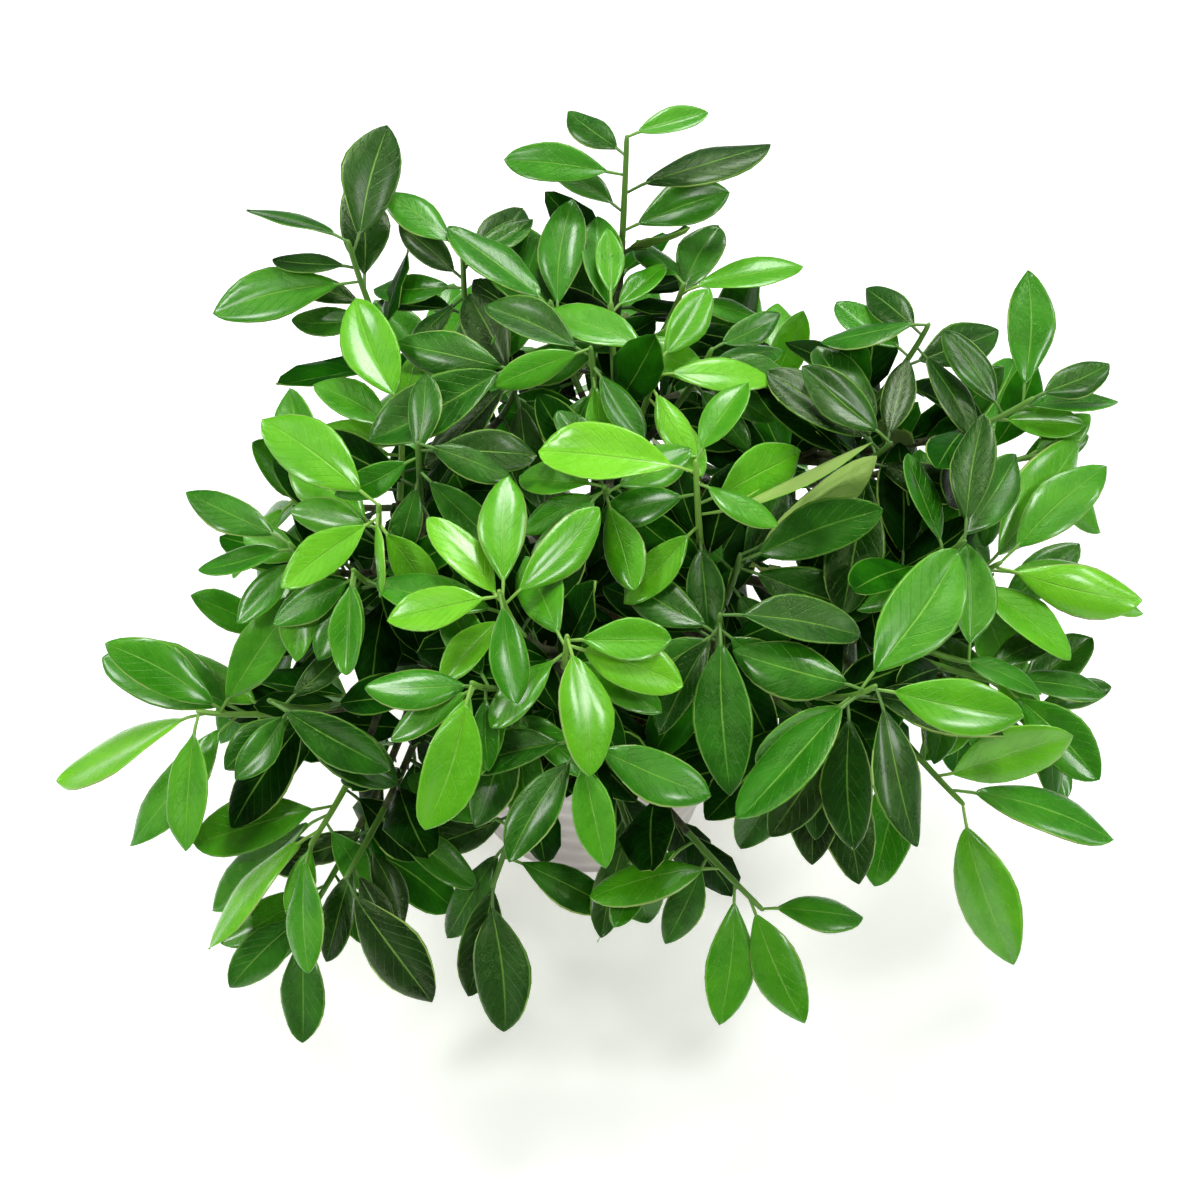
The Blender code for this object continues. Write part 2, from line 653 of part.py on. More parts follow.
def combine(piece, operation, meshes, cutters):
    """Fuses the meshes to the piece, or cuts them from it, with one Boolean, and drops them."""
    for number, mesh in enumerate(meshes):
        helper = bpy.data.objects.new(f"{piece.name} {number}", mesh)
        helper.display_type = "WIRE"
        cutters.objects.link(helper)
    boolean = piece.modifiers.new(operation.title(), "BOOLEAN")
    boolean.operation = operation
    boolean.operand_type = "COLLECTION"
    boolean.collection = cutters
    boolean.solver = "MANIFOLD"
    apply_modifiers(piece)
    for helper in list(cutters.objects):
        bpy.data.objects.remove(helper)


def smooth(piece):
    """Shades a round piece smooth, short of its corners."""
    piece.data.shade_smooth()
    piece.data.set_sharp_from_angle(angle=CORNER)


def turned(name, profile, sides, collection, material):
    """A closed solid turned round Z. The profile runs down its outer side, top to bottom."""
    mesh = bpy.data.meshes.new(name)
    points = [(radius, 0, height) for radius, height in profile]
    mesh.from_pydata(points, [(n, n + 1) for n in range(len(points) - 1)], [])
    piece = add_piece(name, mesh, collection, material)
    screw = piece.modifiers.new("Turn", "SCREW")
    screw.steps = screw.render_steps = sides
    screw.use_merge_vertices = True
    screw.merge_threshold = 0.01 * MM
    apply_modifiers(piece)
    return piece


def wall_radius(height):
    """Radius of the pot's outer wall between its hoops."""
    return POT_BASE_RADIUS + (POT_RIM_RADIUS - RIM_STEP - POT_BASE_RADIUS) * height / (POT_HEIGHT - RIM_BAND)


def make_pot(collection, cutters, material):
    """A tapered pot with raised hoops, a rim band and drainage holes round the middle of its flat base."""
    band_foot = POT_HEIGHT - RIM_BAND
    inner_top = POT_RIM_RADIUS - POT_WALL
    inner_foot = wall_radius(POT_FLOOR) - POT_WALL
    profile = [(0, POT_FLOOR), (inner_foot, POT_FLOOR)]
    profile += [(inner_top, POT_HEIGHT), (POT_RIM_RADIUS, POT_HEIGHT), (POT_RIM_RADIUS, band_foot)]
    pitch = (band_foot - 2 * FOOT_RISE) / HOOPS
    for hoop in range(HOOPS):
        height = band_foot - pitch * hoop
        profile.append((wall_radius(height) - HOOP_DEPTH / 2, height))
        profile.append((wall_radius(height - pitch / 2) + HOOP_DEPTH / 2, height - pitch / 2))
    profile.append((wall_radius(FOOT_RISE) - HOOP_DEPTH / 2, FOOT_RISE))
    profile += [(POT_BASE_RADIUS - FOOT_BEVEL, 0), (0, 0)]
    pot = turned("pot", profile, POT_SIDES, collection, material)
    drains = []
    for hole in range(DRAIN_HOLES):
        turn = 2 * math.pi * (hole + 0.5) / DRAIN_HOLES
        foot = Vector((DRAIN_CIRCLE * math.cos(turn), DRAIN_CIRCLE * math.sin(turn), -POT_FLOOR))
        drains.append(tube_mesh("drain", [foot, foot + UP * 3 * POT_FLOOR], [DRAIN_RADIUS] * 2, 10))
    combine(pot, "DIFFERENCE", drains, cutters)
    smooth(pot)


def make_soil(collection, cutters, material):
    """Soil that fills the pot, uneven on top, with a hole for the trunk."""
    inner_foot = wall_radius(POT_FLOOR) - POT_WALL - SEAT_GAP
    share = (SOIL_TOP - POT_FLOOR) / (POT_HEIGHT - POT_FLOOR)
    inner_top = inner_foot + (POT_RIM_RADIUS - POT_WALL - SEAT_GAP - inner_foot) * share
    profile = [(inner_top * ring / SOIL_RINGS, SOIL_TOP) for ring in range(SOIL_RINGS + 1)]
    profile += [(inner_foot, POT_FLOOR + SEAT_GAP), (0, POT_FLOOR + SEAT_GAP)]
    soil = turned("soil", profile, POT_SIDES, collection, material)
    for vertex in soil.data.vertices:
        x, y, z = vertex.co
        reach = math.hypot(x, y)
        if z > SOIL_TOP - MM and 2 * TRUNK_RADIUS < reach < inner_top - MM:
            vertex.co.z += SOIL_BUMP * (math.sin(x / SOIL_WAVE) + math.sin(y / SOIL_WAVE + 1))
    foot, top = trunk_point(TRUNK_FOOT - SEAT_GAP), trunk_point(SOIL_TOP + TRUNK_RADIUS)
    hole = tube_mesh("hole", [foot, top], [TRUNK_RADIUS + 2 * SEAT_GAP] * 2, 8)
    combine(soil, "DIFFERENCE", [hole], cutters)
    smooth(soil)


def taper(first, last, count):
    return [first + (last - first) * step / (count - 1) for step in range(count)]


def make_trunk(shoots, collection, cutters, material):
    """The trunk with its boughs and bare twigs, each sunk into what it grows from."""
    heights = taper(TRUNK_FOOT, TRUNK_TOP, 5)
    trunk_radii = taper(TRUNK_RADIUS, TRUNK_TOP_RADIUS, 5)
    mesh = tube_mesh("trunk", [trunk_point(height) for height in heights], trunk_radii, 8)
    trunk = add_piece("trunk", mesh, collection, material)
    meshes = []
    for name in BOUGHS:
        points = bough_points(name)
        meshes.append(tube_mesh(name, points, taper(BOUGH_RADIUS, BOUGH_END_RADIUS, len(points)), 6))
    for name, (_, _, twig) in shoots.items():
        meshes.append(tube_mesh(name, twig, taper(TWIG_RADIUS, STEM_RADIUS, len(twig))))
    combine(trunk, "UNION", meshes, cutters)
    smooth(trunk)


def make_shoot(name, stem, leaves, collection, cutters, material):
    mesh = tube_mesh(name, stem, taper(STEM_RADIUS, STEM_TIP_RADIUS, len(stem)))
    shoot = add_piece(name, mesh, collection, material)
    combine(shoot, "UNION", [leaf_mesh(name, leaf) for leaf in leaves], cutters)


def build():
    for old in list(bpy.data.objects):
        bpy.data.objects.remove(old)
    plant = bpy.data.collections.new("potted calamondin tree")
    cutters = bpy.data.collections.new("cutters")
    bpy.context.scene.collection.children.link(plant)
    bpy.context.scene.collection.children.link(cutters)
    cutters.hide_render = True
    make_pot(plant, cutters, finish("pot glaze", (0.72, 0.68, 0.68), 0.35))
    make_soil(plant, cutters, finish("potting soil", (0.035, 0.018, 0.012), 0.95))
    crown = Crown()
    for name in BOUGHS:
        crown.add_wood(name, bough_points(name), BOUGH_RADIUS, False)
    shoots = {name: grow_shoot(crown, name) for name in SHOOTS}
    make_trunk(shoots, plant, cutters, finish("bark", (0.06, 0.045, 0.025), 0.8))
    nearest_first = sorted(SHOOTS, key=lambda name: -Vector(SHOOTS[name][2]).dot(SEEN_NEAR))
    young = {name: grow_leaves(crown, name, shoots[name][0], False) for name in nearest_first}
    old = {name: grow_leaves(crown, name, shoots[name][0], True) for name in nearest_first}
    for number, (name, (_, stem, _)) in enumerate(shoots.items()):
        green = 0.12 + 0.05 * math.sin(number)
        material = finish(f"leaf {name}", (0.04, green, 0.015), 0.35)
        make_shoot(name, stem, young[name] + old[name], plant, cutters, material)


build()
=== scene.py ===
"""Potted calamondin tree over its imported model: pot, soil, wood and glossy leaves. Metres, +Z up."""

import collections
import functools
from math import atan2, ceil, cos, degrees, hypot, pi, radians, sin, sqrt, tan
from random import Random

import bmesh
import bpy
from mathutils import Matrix, Vector, noise
from mathutils.bvhtree import BVHTree


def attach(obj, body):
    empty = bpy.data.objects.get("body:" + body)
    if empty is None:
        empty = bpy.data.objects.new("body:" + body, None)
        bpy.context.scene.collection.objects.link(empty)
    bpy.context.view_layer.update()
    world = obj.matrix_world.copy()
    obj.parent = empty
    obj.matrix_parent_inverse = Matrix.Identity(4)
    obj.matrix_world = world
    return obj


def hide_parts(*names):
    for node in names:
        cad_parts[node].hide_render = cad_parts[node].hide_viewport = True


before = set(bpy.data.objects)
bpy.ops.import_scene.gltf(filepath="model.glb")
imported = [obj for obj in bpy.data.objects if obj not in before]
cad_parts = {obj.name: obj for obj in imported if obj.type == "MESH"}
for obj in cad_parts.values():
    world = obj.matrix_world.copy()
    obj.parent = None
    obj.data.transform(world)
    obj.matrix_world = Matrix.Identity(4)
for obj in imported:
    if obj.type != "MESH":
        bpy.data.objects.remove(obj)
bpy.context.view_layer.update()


def add_object(name, data):
    item = bpy.data.objects.new(name, data)
    bpy.context.scene.collection.objects.link(item)
    return item


# Camera. The plant is seen from above its front, and from so near that its nearest leaves look a little
# larger than those at the back.
MM = 0.001
VIEW_SIZE = 1200
VIEW_FOCAL = 2708
SENSOR_MM = 36
SEEN_FROM = radians(44)
VIEW_DISTANCE = 1.3
VIEW_AIM = Vector((0.0062, 0, 0.1368))

SEEN_RIGHT = Vector((1, 0, 0))
SEEN_UP = Vector((0, sin(SEEN_FROM), cos(SEEN_FROM)))
SEEN_NEAR = Vector((0, -cos(SEEN_FROM), sin(SEEN_FROM)))
VIEW_EYE = VIEW_AIM + SEEN_NEAR * VIEW_DISTANCE
camera_data = bpy.data.cameras.new("camera")
camera_data.sensor_width = SENSOR_MM
camera_data.lens = SENSOR_MM * VIEW_FOCAL / VIEW_SIZE
camera = add_object("camera", camera_data)
camera.location = VIEW_EYE
camera.rotation_euler = (pi / 2 - SEEN_FROM, 0, 0)
bpy.context.scene.camera = camera

# Studio. A pale floor that glows a little, faint white light all round, and six soft lamps. The high ones
# draw the streaks of gloss on the leaves that lie flat, and those at the sides light the leaves that hang.
# Lamp: its place, its power in watts and the length of its side.
FLOOR_SIZE = 12
FLOOR_COLOUR = "#f7f7f5"
FLOOR_GLOW = 0.4
SKY_STRENGTH = 0.14
LAMPS = {
    "top": ((0.1, 0.25, 2.0), 19, 0.42),
    "back": ((0.35, 1.0, 1.6), 10, 0.42),
    "left": ((-1.35, 0.1, 1.35), 10, 0.36),
    "right": ((1.35, 0.0, 1.4), 7, 0.36),
    "front left": ((-1.15, -0.9, 1.45), 11, 0.28),
    "front right": ((1.1, -0.85, 1.4), 9, 0.28),
}


def linear(colour):
    """A hex sRGB colour as linear red, green, blue and alpha."""
    values = [int(colour[place : place + 2], 16) / 255 for place in (1, 3, 5)]
    values = [value / 12.92 if value <= 0.04045 else ((value + 0.055) / 1.055) ** 2.4 for value in values]
    return (*values, 1)


def new_material(name, roughness):
    """A material, what adds nodes to it, and its shader, with this roughness until a node changes it."""
    material = bpy.data.materials.new(name)
    material.use_nodes = True
    shader = material.node_tree.nodes["Principled BSDF"]
    shader.inputs["Roughness"].default_value = roughness
    return material, functools.partial(add_node, material.node_tree), shader


def set_inputs(node, inputs):
    """Inputs are values, sockets or nodes, which stand for their first output, by name or in order."""
    for name, value in inputs.items() if isinstance(inputs, dict) else enumerate(inputs):
        if isinstance(value, bpy.types.Node):
            value = value.outputs[0]
        if isinstance(value, bpy.types.NodeSocket):
            node.id_data.links.new(value, node.inputs[name])
        else:
            node.inputs[name].default_value = value


def add_node(tree, kind, inputs=(), stops=(), **settings):
    """Adds a shader node with its inputs and settings. Stops are a ramp's places and colours."""
    node = tree.nodes.new("ShaderNode" + kind)
    for name, value in settings.items():
        setattr(node, name, value)
    set_inputs(node, inputs)
    for number, (place, colour) in enumerate(stops):
        elements = node.color_ramp.elements
        stop = elements[number] if number < len(elements) else elements.new(place)
        stop.position = place
        stop.color = linear(colour)
    return node


def either_way(draw, most):
    """A random value up to this much on either side of 0.

    Each named piece draws from a source of its own, so that one change doesn't move the others.
    """
    return draw.uniform(-most, most)


def add_piece(name, shape, *materials):
    """Makes the shape a smooth-shaded object with these materials, and frees the shape."""
    mesh = bpy.data.meshes.new(name)
    shape.to_mesh(mesh)
    shape.free()
    for material in materials:
        mesh.materials.append(material)
    mesh.shade_smooth()
    return add_object(name, mesh)


floor_shape = bmesh.new()
bmesh.ops.create_grid(floor_shape, x_segments=1, y_segments=1, size=FLOOR_SIZE / 2)
floor_paint, _, floor_shader = new_material("matt white studio floor", 0.9)
floor_colour = linear(FLOOR_COLOUR)
set_inputs(floor_shader, {
    "Base Color": floor_colour, "Emission Color": floor_colour, "Emission Strength": FLOOR_GLOW})
floor = add_piece("floor", floor_shape, floor_paint)

for name, (place, power, size) in LAMPS.items():
    lamp_data = bpy.data.lights.new(name, "AREA")
    lamp_data.size = size
    lamp_data.energy = power
    lamp = add_object(name, lamp_data)
    lamp.location = place
    lamp.rotation_euler = (VIEW_AIM - lamp.location).to_track_quat("-Z", "Y").to_euler()

world = bpy.data.worlds.new("white studio")
world.use_nodes = True
set_inputs(world.node_tree.nodes["Background"], {"Color": (1, 1, 1, 1), "Strength": SKY_STRENGTH})
bpy.context.scene.world = world
bpy.context.scene.view_settings.view_transform = "Standard"

# Pot. Moulded in pale grey-pink plastic, with soft hoops round its tapered wall, a plain rim band,
# rounded edges and drainage holes in its flat base.
POT_HEIGHT = 115 * MM
POT_RIM_RADIUS = 79 * MM
POT_BASE_RADIUS = 56 * MM
POT_WALL = 4 * MM
POT_FLOOR = 5 * MM
RIM_BAND = 15 * MM
RIM_STEP = 3 * MM
HOOPS = 8
HOOP_DEPTH = 1.2 * MM
FOOT_RISE = 3 * MM
FOOT_BEVEL = 2 * MM
DRAIN_HOLES = 4
DRAIN_RADIUS = 4 * MM
DRAIN_CIRCLE = 34 * MM
POT_COLOUR = "#dad2d2"
POT_SHADE = "#c0b5b7"
TURN_STEPS = 96
HOOP_STEP = 1 * MM
EDGE_ROUND = 1.2 * MM
LIP_STEPS = 8
DRAIN_SIDES = 24
MERGE = 0.01 * MM
POT_SHARP = radians(40)
POT_CLOUD = 40 * MM
POT_GRAIN = 1.5 * MM


def wall_radius(height):
    """Radius of the pot's outer wall between its hoops."""
    spread = POT_RIM_RADIUS - RIM_STEP - POT_BASE_RADIUS
    return POT_BASE_RADIUS + spread * height / (POT_HEIGHT - RIM_BAND)


def pot_profile():
    """The wall's section, from the middle of the inner floor over the rim to the middle of the base."""
    band_foot = POT_HEIGHT - RIM_BAND
    inner_top = POT_RIM_RADIUS - POT_WALL
    points = [(0, POT_FLOOR), (wall_radius(POT_FLOOR) - POT_WALL, POT_FLOOR)]
    for step in range(LIP_STEPS + 1):
        turn = pi * (1 - step / LIP_STEPS)
        reach = (inner_top + POT_RIM_RADIUS + POT_WALL * cos(turn)) / 2
        points.append((reach, POT_HEIGHT - POT_WALL / 2 * (1 - sin(turn))))
    points += [(POT_RIM_RADIUS, band_foot + EDGE_ROUND), (POT_RIM_RADIUS - EDGE_ROUND / 2, band_foot)]
    pitch = (band_foot - 2 * FOOT_RISE) / HOOPS
    steps = round((band_foot - FOOT_RISE) / HOOP_STEP)
    for step in range(1, steps + 1):
        height = band_foot - (band_foot - FOOT_RISE) * step / steps
        hoop = -cos(2 * pi * (band_foot - height) / pitch)
        points.append((wall_radius(height) + HOOP_DEPTH / 2 * hoop, height))
    points.append((POT_BASE_RADIUS - FOOT_BEVEL / 4, FOOT_BEVEL / 2))
    return points + [(POT_BASE_RADIUS - FOOT_BEVEL, 0), (0, 0)]


def turned(profile):
    """A closed shape turned round Z from its section."""
    shape = bmesh.new()
    points = [shape.verts.new((radius, 0, height)) for radius, height in profile]
    edges = [shape.edges.new(pair) for pair in zip(points, points[1:])]
    bmesh.ops.spin(
        shape, geom=points + edges, cent=(0, 0, 0), axis=(0, 0, 1), angle=2 * pi, steps=TURN_STEPS,
        use_merge=True)
    bmesh.ops.remove_doubles(shape, verts=shape.verts, dist=MERGE)
    bmesh.ops.recalc_face_normals(shape, faces=shape.faces)
    return shape


def moulded_plastic():
    """Satin polypropylene, faintly cloudy in colour and finely grained."""
    material, add, shader = new_material("moulded polypropylene", 0.42)
    place = add("TexCoord").outputs["Object"]
    cloud = add("TexNoise", {"Vector": place, "Scale": 1 / POT_CLOUD, "Detail": 3})
    ramp = add("ValToRGB", [cloud], ((0.35, POT_SHADE), (0.65, POT_COLOUR)))
    grain = add("TexNoise", {"Vector": place, "Scale": 1 / POT_GRAIN})
    bump = add("Bump", {"Height": grain, "Strength": 0.15, "Distance": 0.1 * MM})
    set_inputs(shader, {"Base Color": ramp, "Normal": bump})
    return material


pot_shape = turned(pot_profile())
drains = bmesh.new()
for hole in range(DRAIN_HOLES):
    turn = 2 * pi * (hole + 0.5) / DRAIN_HOLES
    middle = (DRAIN_CIRCLE * cos(turn), DRAIN_CIRCLE * sin(turn), POT_FLOOR / 2)
    bmesh.ops.create_cone(
        drains, cap_ends=True, segments=DRAIN_SIDES, radius1=DRAIN_RADIUS, radius2=DRAIN_RADIUS,
        depth=3 * POT_FLOOR, matrix=Matrix.Translation(middle))
pot = add_piece("moulded_pot", pot_shape, moulded_plastic())
cutter = add_piece("drain cutter", drains)
cut = pot.modifiers.new("drains", "BOOLEAN")
cut.operation = "DIFFERENCE"
cut.object = cutter
pot.data = bpy.data.meshes.new_from_object(pot.evaluated_get(bpy.context.evaluated_depsgraph_get()))
pot.modifiers.clear()
bpy.data.objects.remove(cutter)
pot.data.set_sharp_from_angle(angle=POT_SHARP)
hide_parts("pot")
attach(pot, "root")

# Soil. Damp bark and peat mix that fills the pot, lumpy on top, with chips of bark and a few pale grains
# pressed in.
SEAT_GAP = 0.3 * MM
SOIL_TOP = 100 * MM
SOIL_BUMP = 1.5 * MM
SOIL_WAVE = 8 * MM
SOIL_RINGS = 30
SOIL_LUMP = 4 * MM
CHIPS = 420
GRAINS = 110
CHIP_SIZE = (5 * MM, 2.6 * MM, 1.6 * MM)
GRAIN_RADIUS = 1.1 * MM
CHIP_SIZES = (0.5, 1.2)
CHIP_TILT = 0.5
CHIP_RISE = 0.3 * MM
CHIP_REACH = 0.96
SOIL_SHARP = radians(35)


def soil_height(x, y):
    """Height of the soil's surface: the source's long waves, with lumps added."""
    waves = SOIL_BUMP * (sin(x / SOIL_WAVE) + sin(y / SOIL_WAVE + 1))
    lumps = noise.noise(Vector((x, y, 0)) / (2 * SOIL_LUMP)) * SOIL_LUMP / 2
    return SOIL_TOP + 0.5 * waves + lumps


def crumbly(name, dark, light, grain):
    """A matt material that varies from dark to light over this grain size."""
    material, add, shader = new_material(name, 0.95)
    place = add("TexCoord").outputs["Object"]
    spots = add("TexNoise", {"Vector": place, "Scale": 1 / grain, "Detail": 6, "Roughness": 0.7})
    ramp = add("ValToRGB", [spots], ((0.35, dark), (0.7, light)))
    bump = add("Bump", {"Height": spots, "Strength": 0.8, "Distance": grain / 2})
    set_inputs(shader, {"Base Color": ramp, "Normal": bump})
    return material


inner_foot = wall_radius(POT_FLOOR) - POT_WALL - SEAT_GAP
rise = (SOIL_TOP - POT_FLOOR) / (POT_HEIGHT - POT_FLOOR)
inner_top = inner_foot + (POT_RIM_RADIUS - POT_WALL - SEAT_GAP - inner_foot) * rise
soil_shape = turned(
    [(inner_top * ring / SOIL_RINGS, SOIL_TOP) for ring in range(SOIL_RINGS + 1)]
    + [(inner_foot, POT_FLOOR + SEAT_GAP), (0, POT_FLOOR + SEAT_GAP)])
for vertex in soil_shape.verts:
    if vertex.co.z > SOIL_TOP - MM:
        vertex.co.z = soil_height(vertex.co.x, vertex.co.y)
draw = Random("soil")
for number in range(CHIPS + GRAINS):
    reach = inner_top * CHIP_REACH * sqrt(draw.random())
    turn = draw.uniform(0, 2 * pi)
    x, y = reach * cos(turn), reach * sin(turn)
    place = Matrix.Translation((x, y, soil_height(x, y) + CHIP_RISE))
    place @= Matrix.Rotation(draw.uniform(0, pi), 4, "Z")
    place @= Matrix.Rotation(either_way(draw, CHIP_TILT), 4, "X")
    size = draw.uniform(*CHIP_SIZES)
    if number < CHIPS:
        bmesh.ops.create_cube(soil_shape, size=size, matrix=place @ Matrix.Diagonal((*CHIP_SIZE, 1)))
    else:
        radius = GRAIN_RADIUS * size
        new = bmesh.ops.create_icosphere(soil_shape, subdivisions=1, radius=radius, matrix=place)["verts"]
        for face in {face for vertex in new for face in vertex.link_faces}:
            face.material_index = 1
soil = add_piece(
    "potting_soil", soil_shape, crumbly("bark and peat mix", "#1c100b", "#5a3a28", 2 * MM),
    crumbly("perlite grains", "#8d857a", "#d8d2c6", 1 * MM))
soil.data.set_sharp_from_angle(angle=SOIL_SHARP)
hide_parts("soil")
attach(soil, "root")

# Wood. The trunk leans a little and divides into boughs, and bare twigs run from the boughs to each leafy
# shoot. The cracked bark is grey-brown on the trunk and greener on the twigs, and short dead stubs stand
# on it.
TRUNK_FOOT = 70 * MM
TRUNK_TOP = 186 * MM
TRUNK_RADIUS = 8 * MM
TRUNK_TOP_RADIUS = 3.6 * MM
BOUGH_RADIUS = 3.4 * MM
BOUGH_END_RADIUS = 2 * MM
TWIG_RADIUS = 1.9 * MM
STEM_RADIUS = 1.7 * MM
STEM_TIP_RADIUS = 1.3 * MM
STEM_END = 2 * MM
STEM_LEAD = 5 * MM
OLD_LEAVES = 2
OLD_SPACING = 9 * MM
LONG_TWIG = 90 * MM
LONG_STEM = 30 * MM
PATH_STEPS = 24
SAG = 0.2
TRUNK_RINGS = 12
TRUNK_SIDES = 14
TWIG_STEPS = 8
TWIG_SIDES = 8
BARK_CRACK = 3 * MM
CRACK_DEPTH = 0.6 * MM
OLDEST = 0.01
BOUGH_AGE = 0.15
TWIG_AGE = 0.45
STUB_AGE = 0.1
BOUGH_PIECES = 4
UP = Vector((0, 0, 1))

# Leaves. Until it finds a clear place, one turns by up to the STRAY angles and shrinks by up to SHRINK.
# In a spiral it stands TILT_STEP degrees further off the stem than the leaf above.
CLEAR = 0.5 * MM
FLOOR_CLEAR = 12 * MM
POT_CLEAR = 6 * MM
RIM_CLEAR = 4 * MM
TRIES = 60
STRAY_CLOCK = 50
STRAY_LEAN = 75
STRAY_ROLL = 70
SHRINK = 0.25
SEEN_ROLL = 25
SPIRAL_ROLL = 15
SPIRAL_LENGTHS = (42, 58)
TIP_TILT = 45
TILT_STEP = 7
MOST_TILT = 88
TILT_PLAY = 8
TURN = radians(137.5)
LIT_DEPTH = 180 * MM
BLADE_WIDTH = 0.47
BLADE_THICKNESS = 1.2 * MM
STALK_RADIUS = 0.6 * MM
STALK_SHARE = 0.17
SECTIONS = (0.32, 0.7)

# Bough: the height where it leaves the trunk, and its end, in millimetres.
BOUGHS = {
    "back": (176, (12, 45, 245)),
    "back_left": (166, (-70, 20, 235)),
    "left": (152, (-95, -60, 212)),
    "front_left": (140, (-90, -110, 180)),
    "front": (156, (-12, -110, 205)),
    "front_right": (146, (75, -105, 190)),
    "right": (160, (112, -60, 195)),
    "back_right": (170, (105, 10, 220)),
    "middle": (180, (15, -25, 248)),
    "rear_left": (142, (-65, 75, 160)),
    "rear_right": (148, (55, 80, 165)),
}

# A leaf's tip lies this many blade lengths from its stalk's root. Blades are between these lengths, in
# millimetres.
LEAF_REACH = 1.14
SHORTEST_LEAF = 34
LONGEST_LEAF = 70

